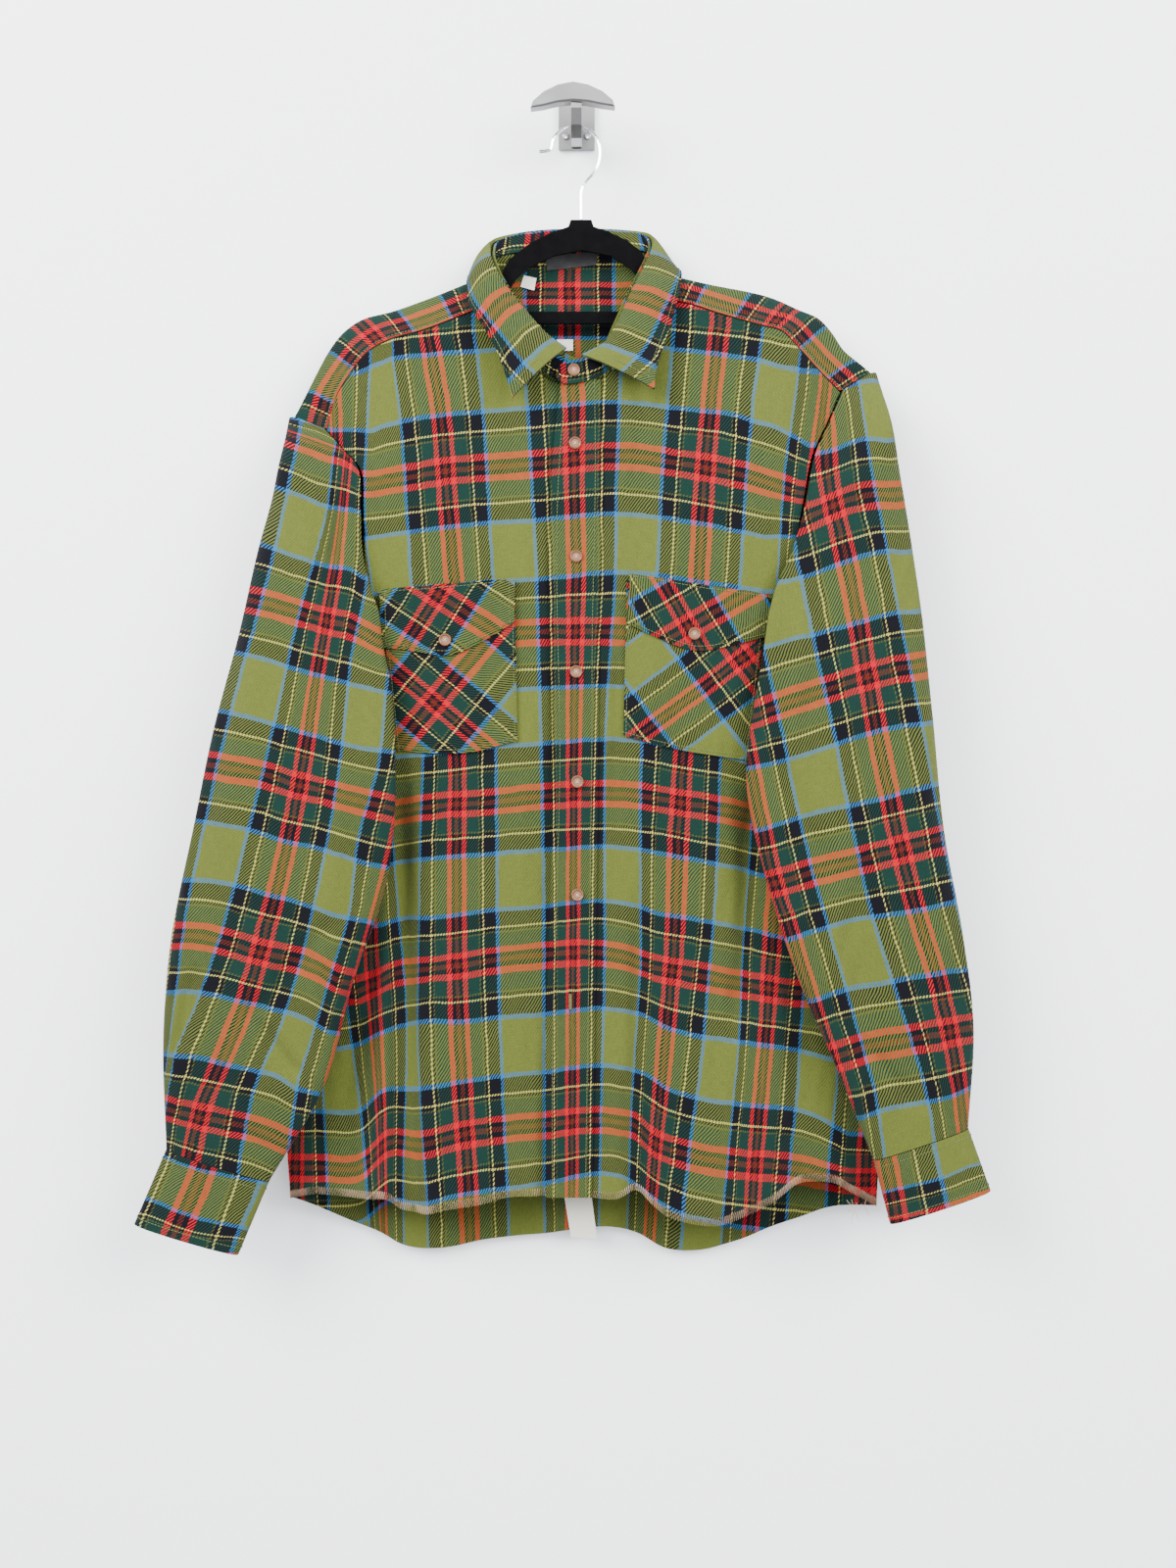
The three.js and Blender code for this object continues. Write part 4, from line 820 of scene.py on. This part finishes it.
def patch_grid(table, tree, lift, rows, cols):
    a, b = grid_of(rows, cols)
    top = through([[x, 0, z] for x, z in table["top"]])
    foot = through([[x, 0, z] for x, z in table["foot"]])
    p = mix(top(a), foot(a), b)
    edge = smooth(clamp(np.minimum(np.minimum(a, 1 - a) * 14, (1 - b) * 10)))
    return lie_on(tree, p[..., 0], p[..., 2], lift + 0.9 * edge)


def bias_uv(grid, kind):
    cx, cy, lean, swapped = BIAS[kind]
    px, py = seen(grid)
    c, s = math.cos(math.radians(lean)), math.sin(math.radians(lean))
    along, over = ((px - cx) * c + (py - cy) * s) * CHECK_SCALE, ((py - cy) * c - (px - cx) * s) * CHECK_SCALE
    return np.stack([along, over] if swapped else [over, along], -1)


# Materials

def linear(rgb, share=1.0):
    out = [c / 255 / 12.92 if c <= 10 else ((c / 255 + 0.055) / 1.055) ** 2.4 for c in rgb]
    return [min(1, c * share) for c in out] + [1]


OLIVE, GREEN, DIM = (106, 116, 50), (18, 54, 46), (78, 84, 44)
NAVY, RED, WORN_RED = (12, 13, 22), (216, 12, 36), (104, 34, 24)
BLUE, YELLOW = (50, 116, 172), (206, 198, 108)
# The check from its middle outwards, as shares of one repeat
SETT = [(0.0, WORN_RED), (0.014, NAVY), (0.04, RED), (0.08, GREEN), (0.172, DIM), (0.184, NAVY),
        (0.205, YELLOW), (0.218, NAVY), (0.31, BLUE), (0.337, OLIVE)]


class Nodes:
    """Short ways to add shader nodes to a tree."""

    def __init__(self, tree):
        self.tree = tree

    def new(self, kind, **facts):
        node = self.tree.nodes.new(kind)
        for key, value in facts.items():
            setattr(node, key, value)
        return node

    def set(self, socket, value):
        if isinstance(value, bpy.types.NodeSocket):
            self.tree.links.new(value, socket)
        elif value is not None:
            socket.default_value = value

    def math(self, operation, a, b=None, c=None, clamped=False):
        node = self.new("ShaderNodeMath", operation=operation, use_clamp=clamped)
        for socket, value in zip(node.inputs, (a, b, c)):
            self.set(socket, value)
        return node.outputs[0]

    def range(self, value, low, high, to_low=0.0, to_high=1.0):
        node = self.new("ShaderNodeMapRange")
        for key, v in (("Value", value), ("From Min", low), ("From Max", high), ("To Min", to_low),
                       ("To Max", to_high)):
            self.set(node.inputs[key], v)
        return node.outputs[0]

    def blend(self, a, b, share, kind="MIX"):
        node = self.new("ShaderNodeMix", data_type="RGBA", blend_type=kind)
        self.set(node.inputs[0], share)
        self.set(node.inputs[6], a)
        self.set(node.inputs[7], b)
        return node.outputs[2]

    def noise(self, place, scale, detail=2.0, rough=0.5):
        node = self.new("ShaderNodeTexNoise")
        self.set(node.inputs["Vector"], place)
        for key, v in (("Scale", scale), ("Detail", detail), ("Roughness", rough)):
            self.set(node.inputs[key], v)
        return node.outputs["Fac"]

    def vector(self, x, y, z=0.0):
        node = self.new("ShaderNodeCombineXYZ")
        for socket, value in zip(node.inputs, (x, y, z)):
            self.set(socket, value)
        return node.outputs[0]


def sett_colour(n, place):
    """Colour of a thread from its place in mirrored repeats of the check."""
    away = n.math("ABSOLUTE", n.math("SUBTRACT", n.math("FRACT", n.math("ADD", place, 0.5)), 0.5))
    ramp = n.new("ShaderNodeValToRGB")
    ramp.color_ramp.interpolation = "CONSTANT"
    for k, (at, colour) in enumerate(SETT):
        stop = ramp.color_ramp.elements[k] if k < 2 else ramp.color_ramp.elements.new(at)
        stop.position, stop.color = at, linear(colour, DYE)
    n.set(ramp.inputs[0], away)
    return ramp.outputs[0]


def twill_group():
    """The woven check: colour, thread height and fuzz from cloth coordinates in metres."""
    tree = bpy.data.node_groups.new("twill check", "ShaderNodeTree")
    for name, kind in (("Colour", "NodeSocketColor"), ("Height", "NodeSocketFloat"),
                       ("Fuzz", "NodeSocketFloat")):
        tree.interface.new_socket(name=name, in_out="OUTPUT", socket_type=kind)
    tree.interface.new_socket(name="Turned", in_out="INPUT", socket_type="NodeSocketFloat")
    n = Nodes(tree)
    given, out = n.new("NodeGroupInput"), n.new("NodeGroupOutput")
    turned = given.outputs["Turned"]
    split = n.new("ShaderNodeSeparateXYZ")
    n.set(split.inputs[0], n.new("ShaderNodeUVMap", uv_map="cloth").outputs[0])
    u, v = (n.math("MULTIPLY", split.outputs[k], 1000.0) for k in (0, 1))
    cloth = n.vector(u, v)
    wander = n.math("MULTIPLY", n.math("SUBTRACT", n.noise(cloth, 0.06), 0.5), 2.4)
    u, v = n.math("ADD", u, wander), n.math("ADD", v, wander)
    # where turned is 1, the columns read the tall check and the rows the narrow one
    tall, wide = 1 / WEFT, 1 / WARP
    per_u = n.math("ADD", n.math("MULTIPLY", turned, tall - wide), wide)
    per_v = n.math("ADD", n.math("MULTIPLY", turned, wide - tall), tall)
    warp, weft = sett_colour(n, n.math("MULTIPLY", u, per_u)), sett_colour(n, n.math("MULTIPLY", v, per_v))
    slant = n.math("ADD", n.math("MULTIPLY", u, 1 / 2.5), n.math("MULTIPLY", v, 1 / 3.6))
    wave = n.math("MULTIPLY", n.math("ADD", n.math("SINE", n.math("MULTIPLY", slant, 2 * math.pi)), 1.0), 0.5)
    rough_edge = n.math("MULTIPLY", n.math("SUBTRACT", n.noise(cloth, 1.6, 3.0, 0.7), 0.5), 0.9)
    mask = n.range(n.math("ADD", wave, rough_edge), 0.28, 0.72)
    woven = n.blend(warp, weft, mask)
    warp_thread = n.noise(n.vector(n.math("MULTIPLY", u, 1.6), n.math("MULTIPLY", v, 0.12)), 1.0, 2.0)
    weft_thread = n.noise(n.vector(n.math("MULTIPLY", u, 0.12), n.math("MULTIPLY", v, 1.6)), 1.0, 2.0)
    heather = n.math("MULTIPLY", n.math("ADD", warp_thread, weft_thread), 0.5)
    shade = n.range(heather, 0.3, 0.7, 0.78, 1.2)
    woven = n.blend(woven, n.vector(shade, shade, shade), 1.0, "MULTIPLY")
    lint = n.range(n.noise(cloth, 2.6, 4.0, 0.8), 0.64, 0.82, 0.0, 0.2)
    fuzz = n.range(n.noise(cloth, 0.5, 5.0, 0.7), 0.35, 0.7)
    woven = n.blend(woven, linear((150, 150, 100), 0.5), lint)
    n.set(out.inputs["Colour"], woven)
    n.set(out.inputs["Height"], n.math("ADD", n.math("MULTIPLY", wave, 0.6), n.math("MULTIPLY", fuzz, 0.5)))
    n.set(out.inputs["Fuzz"], fuzz)
    return tree


def plain(name, colour, rough, metal=0.0, sheen=0.0, bump=0.0, grain=400.0, coat=0.0, gloss=0.5):
    material = bpy.data.materials.new(name)
    material.use_nodes = True
    n = Nodes(material.node_tree)
    shader = material.node_tree.nodes["Principled BSDF"]
    for key, value in (("Base Color", linear(colour)), ("Roughness", rough), ("Metallic", metal),
                       ("Sheen Weight", sheen), ("Sheen Roughness", 0.6), ("Coat Weight", coat),
                       ("Specular IOR Level", gloss)):
        shader.inputs[key].default_value = value
    if bump:
        place = n.new("ShaderNodeTexCoord").outputs["Object"]
        lift = n.new("ShaderNodeBump")
        lift.inputs["Strength"].default_value = bump
        lift.inputs["Distance"].default_value = 0.0006
        n.set(lift.inputs["Height"], n.noise(place, grain, 4.0, 0.7))
        n.set(shader.inputs["Normal"], lift.outputs[0])
        n.set(shader.inputs["Roughness"],
              n.range(n.noise(place, grain / 8, 3.0), 0.3, 0.7, rough * 0.85, min(1, rough * 1.15)))
    return material


def flannel(name, group, turned):
    material = plain(name, OLIVE, 0.92, sheen=0.03, gloss=0.06)
    n = Nodes(material.node_tree)
    shader = material.node_tree.nodes["Principled BSDF"]
    weave = n.new("ShaderNodeGroup", node_tree=group)
    weave.inputs["Turned"].default_value = turned
    lift = n.new("ShaderNodeBump")
    lift.inputs["Strength"].default_value = 0.55
    lift.inputs["Distance"].default_value = 0.0005
    n.set(lift.inputs["Height"], weave.outputs["Height"])
    n.set(shader.inputs["Normal"], lift.outputs[0])
    n.set(shader.inputs["Base Color"], weave.outputs["Colour"])
    n.set(shader.inputs["Roughness"], n.range(weave.outputs["Fuzz"], 0.0, 1.0, 0.86, 0.98))
    return material


# Making the shirt

def make_shirt(cloth, cloth_turned):
    made, grids = {}, {}
    wearer = {"left": "right", "right": "left"}
    for side in ("left", "right"):
        grid = front_grid(side)
        name = "front_" + wearer[side]
        grids[name] = (grid, 1 if side == "left" else -1)
        made[name] = seat(sheet_mesh(name + "_cloth", grid, CLOTH, 1 if side == "left" else -1,
                                     check_uv(BODY, grid)),
                          cloth, "flannel", name)
    grid = back_grid()
    made["back"] = seat(sheet_mesh("back_cloth", grid, CLOTH, 1, check_uv(BODY, grid)), cloth, "flannel",
                        "back")

    p, q = grid_of(60, 220)
    grid = yoke_point(p, q)
    grids["yoke"] = (grid, 1)
    ridge = np.cumsum(np.r_[0,
                            np.linalg.norm(np.diff(yoke_point(np.linspace(0, 1, 221), 0.45), axis=0),
                                           axis=1)])
    along = np.broadcast_to(ridge - ridge[110], grid.shape[:2])
    across = np.concatenate([np.zeros((1, grid.shape[1])),
                             np.cumsum(np.linalg.norm(np.diff(grid, axis=0), axis=2), 0)])
    outside = np.stack([along * 0.95, across - 8], -1)
    px, py = seen(grid)
    inside = np.stack([(px - 581) * 0.762, (py - 300) * 1.013], -1)
    made["yoke"] = seat(sheet_mesh("yoke_cloth", grid, CLOTH, 1, outside, inside), cloth, "flannel", "yoke")

    for side, turn in (("left", -1), ("right", 1)):
        grid, uv = sleeve_grid(side)
        name = "sleeve_" + wearer[side]
        made[name] = seat(sheet_mesh(name + "_cloth", grid, CLOTH, turn, uv, closed=True), cloth,
                          "flannel", name)
        top, foot = tube_ring(SLEEVE[side][-1]), tube_ring(CUFF[side])
        gap = foot - top
        top = top + 0.8 * gap / np.linalg.norm(gap, axis=1, keepdims=True)
        band = loft([top, foot], 20)
        name = "cuff_" + wearer[side]
        grids[name] = (band, turn)
        made[name] = seat(sheet_mesh(name + "_cloth", band, DOUBLED, turn,
                                     tube_uv(band, CUFF_CHECK[side]), closed=True),
                          cloth_turned, "flannel", name)

    stand = band_grid(STAND, 12, 200, 0)
    made["collar_stand"] = seat(sheet_mesh("stand_cloth", stand, CLOTH, -1, collar_uv_plain(stand)),
                                cloth, "flannel", "collar_stand")
    fall = band_grid(FALL, 26, 240, 6)
    grids["collar"] = (fall, 1)
    made["collar"] = seat(sheet_mesh("collar_cloth", fall, DOUBLED, 1, collar_uv(fall)), cloth, "flannel",
                          "collar")

    strip = placket_grid()
    grids["placket"] = (strip, -1)
    made["placket"] = seat(sheet_mesh("placket_cloth", strip, DOUBLED, -1, check_uv(BODY, strip)), cloth,
                           "flannel", "placket")
    for side in ("left", "right"):
        tree = surface_of(made["front_" + wearer[side]])
        for kind, table, lift, node in (("pocket", POCKET, POCKET_LIFT, "pocket_"),
                                        ("flap", FLAP, FLAP_LIFT, "pocket_flap_")):
            grid = patch_grid(table[side], tree, lift, 44, 50)
            name = node + wearer[side]
            grids[name] = (grid, -1)
            made[name] = seat(sheet_mesh(name + "_cloth", grid, CLOTH, -1, bias_uv(grid, (kind, side))),
                              cloth, "flannel", name)
    return made, grids


def collar_uv_plain(grid):
    length = np.r_[0, np.cumsum(np.linalg.norm(np.diff(grid[0], axis=0), axis=1))]
    down = np.concatenate([np.zeros((1, grid.shape[1])),
                           np.cumsum(np.linalg.norm(np.diff(grid, axis=0), axis=2), 0)])
    return np.stack([down + 16, np.broadcast_to(length - length[-1], down.shape)], -1)


def dress_kept(names, material):
    for name in names:
        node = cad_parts[name]
        node.data.materials.clear()
        node.data.materials.append(material)


def pale_stage():
    wall = bpy.data.meshes.new("wall")
    wall.from_pydata([(-6, 0.0012, -6), (6, 0.0012, -6), (6, 0.0012, 6), (-6, 0.0012, 6)], [], [(0, 1, 2, 3)])
    piece = bpy.data.objects.new("wall", wall)
    bpy.context.collection.objects.link(piece)
    paint = plain("wall_paint", (238, 240, 243), 0.9)
    n = Nodes(paint.node_tree)
    shader, out = paint.node_tree.nodes["Principled BSDF"], paint.node_tree.nodes["Material Output"]
    choose = n.new("ShaderNodeMixShader")
    # from behind the wall is clear, and it lets light reach the back of the shirt that hangs close to it
    ray = n.new("ShaderNodeLightPath")
    near = n.math("MULTIPLY", ray.outputs["Is Diffuse Ray"],
                  n.math("LESS_THAN", ray.outputs["Ray Length"], 0.08))
    passing = n.math("MAXIMUM", near, ray.outputs["Is Shadow Ray"])
    n.set(choose.inputs[0], n.math("MAXIMUM", n.new("ShaderNodeNewGeometry").outputs["Backfacing"], passing))
    n.set(choose.inputs[1], shader.outputs[0])
    n.set(choose.inputs[2], n.new("ShaderNodeBsdfTransparent").outputs[0])
    n.set(out.inputs["Surface"], choose.outputs[0])
    wall.materials.append(paint)


# Sewing: stitches, the overlocked hem, threads and the open buttonhole

def stitch_tree(material):
    """Short stitches laid end to end along a line."""
    tree = bpy.data.node_groups.new("stitches", "GeometryNodeTree")
    tree.interface.new_socket(name="Line", in_out="INPUT", socket_type="NodeSocketGeometry")
    gap = tree.interface.new_socket(name="Gap", in_out="INPUT", socket_type="NodeSocketFloat")
    tree.interface.new_socket(name="Stitches", in_out="OUTPUT", socket_type="NodeSocketGeometry")
    add = tree.nodes.new
    given, out = add("NodeGroupInput"), add("NodeGroupOutput")
    curve, spread = add("GeometryNodeMeshToCurve"), add("GeometryNodeResampleCurve")
    put, bead = add("GeometryNodeInstanceOnPoints"), add("GeometryNodeMeshCylinder")
    tangent, turned = add("GeometryNodeInputTangent"), add("FunctionNodeAlignRotationToVector")
    real, paint = add("GeometryNodeRealizeInstances"), add("GeometryNodeSetMaterial")
    spread.mode = "LENGTH"
    turned.axis = "Z"
    bead.inputs["Vertices"].default_value = 5
    bead.inputs["Radius"].default_value = 0.00028
    bead.inputs["Depth"].default_value = 0.0021
    paint.inputs["Material"].default_value = material
    join = tree.links.new
    join(given.outputs["Line"], curve.inputs[0])
    join(curve.outputs[0], spread.inputs["Curve"])
    join(given.outputs["Gap"], spread.inputs["Length"])
    join(spread.outputs[0], put.inputs["Points"])
    join(bead.outputs["Mesh"], put.inputs["Instance"])
    join(tangent.outputs[0], turned.inputs["Vector"])
    join(turned.outputs[0], put.inputs["Rotation"])
    join(put.outputs[0], real.inputs[0])
    join(real.outputs[0], paint.inputs[0])
    join(paint.outputs[0], out.inputs[0])
    return tree, gap.identifier


def line_mesh(name, lines):
    verts, edges = [], []
    for line in lines:
        edges += [(len(verts) + k, len(verts) + k + 1) for k in range(len(line) - 1)]
        verts += [tuple(v * MM for v in p) for p in line]
    mesh = bpy.data.meshes.new(name)
    mesh.from_pydata(verts, edges, [])
    return mesh


def stitched(name, lines, tree, gap_socket, material, gap=3.0):
    """Rows of stitches as one plain mesh."""
    rough = bpy.data.objects.new(name + "_line", line_mesh(name + "_line", lines))
    bpy.context.collection.objects.link(rough)
    laid = rough.modifiers.new("stitches", "NODES")
    laid.node_group = tree
    laid[gap_socket] = gap * MM
    bpy.context.view_layer.update()
    ready = rough.evaluated_get(bpy.context.evaluated_depsgraph_get())
    mesh = bpy.data.meshes.new_from_object(ready)
    bpy.data.objects.remove(rough)
    piece = bpy.data.objects.new(name, mesh)
    bpy.context.collection.objects.link(piece)
    return seat(piece, material, "flannel")


def thread(name, lines, radius, material):
    curve = bpy.data.curves.new(name, "CURVE")
    curve.dimensions = "3D"
    curve.bevel_depth = radius * MM
    curve.bevel_resolution = 0
    for line in lines:
        spline = curve.splines.new("POLY")
        spline.points.add(len(line) - 1)
        for point, p in zip(spline.points, line):
            point.co = (p[0] * MM, p[1] * MM, p[2] * MM, 1)
    piece = bpy.data.objects.new(name, curve)
    bpy.context.collection.objects.link(piece)
    return seat(piece, material, "flannel")


def lifted(grid, side, rows, cols, lift):
    """Places just off the outer face of a sheet."""
    return [tuple(p) for p in (grid - side * lift * slopes(grid, False))[rows, cols]]


def sew(grids, olive_thread, tan_thread):
    tree, gap = stitch_tree(olive_thread)
    sewn = {}

    def rows_on(name, lines):
        grid, side = grids[name]
        laid = [lifted(grid, side, r, c, 0.25) for r, c in lines]
        sewn.setdefault(name, []).append(stitched(name + "_stitches", laid, tree, gap, olive_thread))
    every = slice(None)
    rows_on("placket", [(every, 2), (every, -3)])
    rows_on("collar", [(-4, slice(4, -4)), (slice(9, -3), 4), (slice(9, -3), -5)])
    rows_on("yoke", [(2, slice(0, 74)), (2, slice(147, None)), (-3, every)])
    for side in ("left", "right"):
        rows_on("cuff_" + side, [(2, every), (-3, every)])
        rows_on("pocket_" + side, [(every, 1), (every, -2), (-2, every)])
        rows_on("pocket_flap_" + side,
                [(2, every), (-4, slice(2, -2)), (slice(2, -3), 2), (slice(2, -3), -3)])
        name = "front_" + side
        grid, way = grids[name]
        low, high = np.array(lifted(grid, way, -1, every, 0.4)), np.array(lifted(grid, way, -3, every, 0.4))
        share = np.linspace(0, 1, 330)
        at = lambda p: np.stack([np.interp(share, np.linspace(0, 1, len(p)), p[:, k]) for k in range(3)], -1)
        low, high = at(low), at(high)
        low[1::2] = high[1::2]
        sewn[name] = [thread(name + "_overlock", [low], 0.28, tan_thread)]
    dice = np.random.default_rng(12)
    loose = []
    for k in range(5):
        start = placed(864 + 5 * k, 1226 + dice.uniform(-3, 3), -43.5)
        way = np.array([dice.uniform(-4, 7), -1.5, -dice.uniform(9, 20)])
        loose.append([tuple(start + way * t + np.array([3 * math.sin(4 * t + k), 0,
                                                        0]) * t) for t in np.linspace(0, 1, 12)])
    sewn["front_left"].append(thread("loose_threads", loose, 0.16, tan_thread))
    grid, way = grids["placket"]
    hole = placed(582, 1022, 0)
    front = grid[np.argmin(np.abs(grid[:, 7, 2] - hole[2])), 7, 1]
    x, z = placed(582, 1022, front)[0], placed(582, 1022, front)[2]
    sides = [[(x + d, front - 0.9, z - 6.5), (x + d, front - 0.9, z + 6.5)] for d in (-0.8, 0, 0.8)]
    sewn["placket"].append(thread("open_buttonhole", sides, 0.4, olive_thread))
    return sewn


def button_details(hole_shade_paint, tan_thread):
    """Four short dark discs in the dish of each button, painted shade standing in for its holes, and a
    crossed thread.
    """
    for name in [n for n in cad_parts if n.startswith("button_")]:
        low, high = (np.array(c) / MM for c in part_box(name))
        x, z = (low[0] + high[0]) / 2, (low[2] + high[2]) / 2
        out = 1 if name.startswith("button_cuff") else -1
        dish = (low[1] if out > 0 else high[1]) + out * 1.55
        spots = [(x + 1.2 * i, z + 1.2 * j) for i, j in ((-1, -1), (1, -1), (1, 1), (-1, 1))]
        # painted shade: the dark discs give the shade inside the holes, not cut holes
        hole_shade_discs = [[(a, dish, b), (a, dish + out * 0.12, b)] for a, b in spots]
        thread(name + "_painted_hole_shade", hole_shade_discs, 0.55, hole_shade_paint)["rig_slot"] = "button"
        cross = [[(spots[k][0], dish + out * 0.3, spots[k][1]),
                  (spots[k + 2][0], dish + out * 0.3, spots[k + 2][1])] for k in (0, 1)]
        thread(name + "_thread", cross, 0.26, tan_thread)["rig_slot"] = "button"


camera_and_lights()
pale_stage()
weave = twill_group()
cloth, cloth_turned = flannel("flannel_check", weave, 0.0), flannel("flannel_check_turned", weave, 1.0)
shirt, grids = make_shirt(cloth, cloth_turned)

wood = plain("button_wood", (96, 58, 32), 0.5, bump=0.3, grain=260, coat=0.15)
flock = plain("hanger_flock", (4, 4, 5), 0.97, sheen=0.01, bump=0.5, grain=900, gloss=0.04)
wire = plain("hanger_wire", (214, 216, 220), 0.16, metal=1.0)
cast = plain("cast_metal", (128, 128, 128), 0.38, metal=1.0, bump=0.25, grain=300)
white = plain("label_white", (190, 188, 178), 0.85, bump=0.2, grain=700)
black = plain("label_black", (22, 22, 24), 0.8, bump=0.2, grain=700)
dress_kept([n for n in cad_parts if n.startswith("button_")], wood)
dress_kept(["hanger_frame"], flock)
dress_kept(["hanger_hook", "screw_1", "screw_2"], wire)
dress_kept(["wall_hook"], cast)
dress_kept(["label_size", "label_small", "label_care"], white)
dress_kept(["label_neck"], black)

olive_thread, tan_thread = plain("olive_thread", (74, 82, 40), 0.8), plain("tan_thread", (188, 156, 128), 0.8)
sewn = sew(grids, olive_thread, tan_thread)
# the dark colour here is painted shade for the holes in the buttons
button_details(plain("button_hole_painted_shade", (34, 22, 14), 0.9), tan_thread)
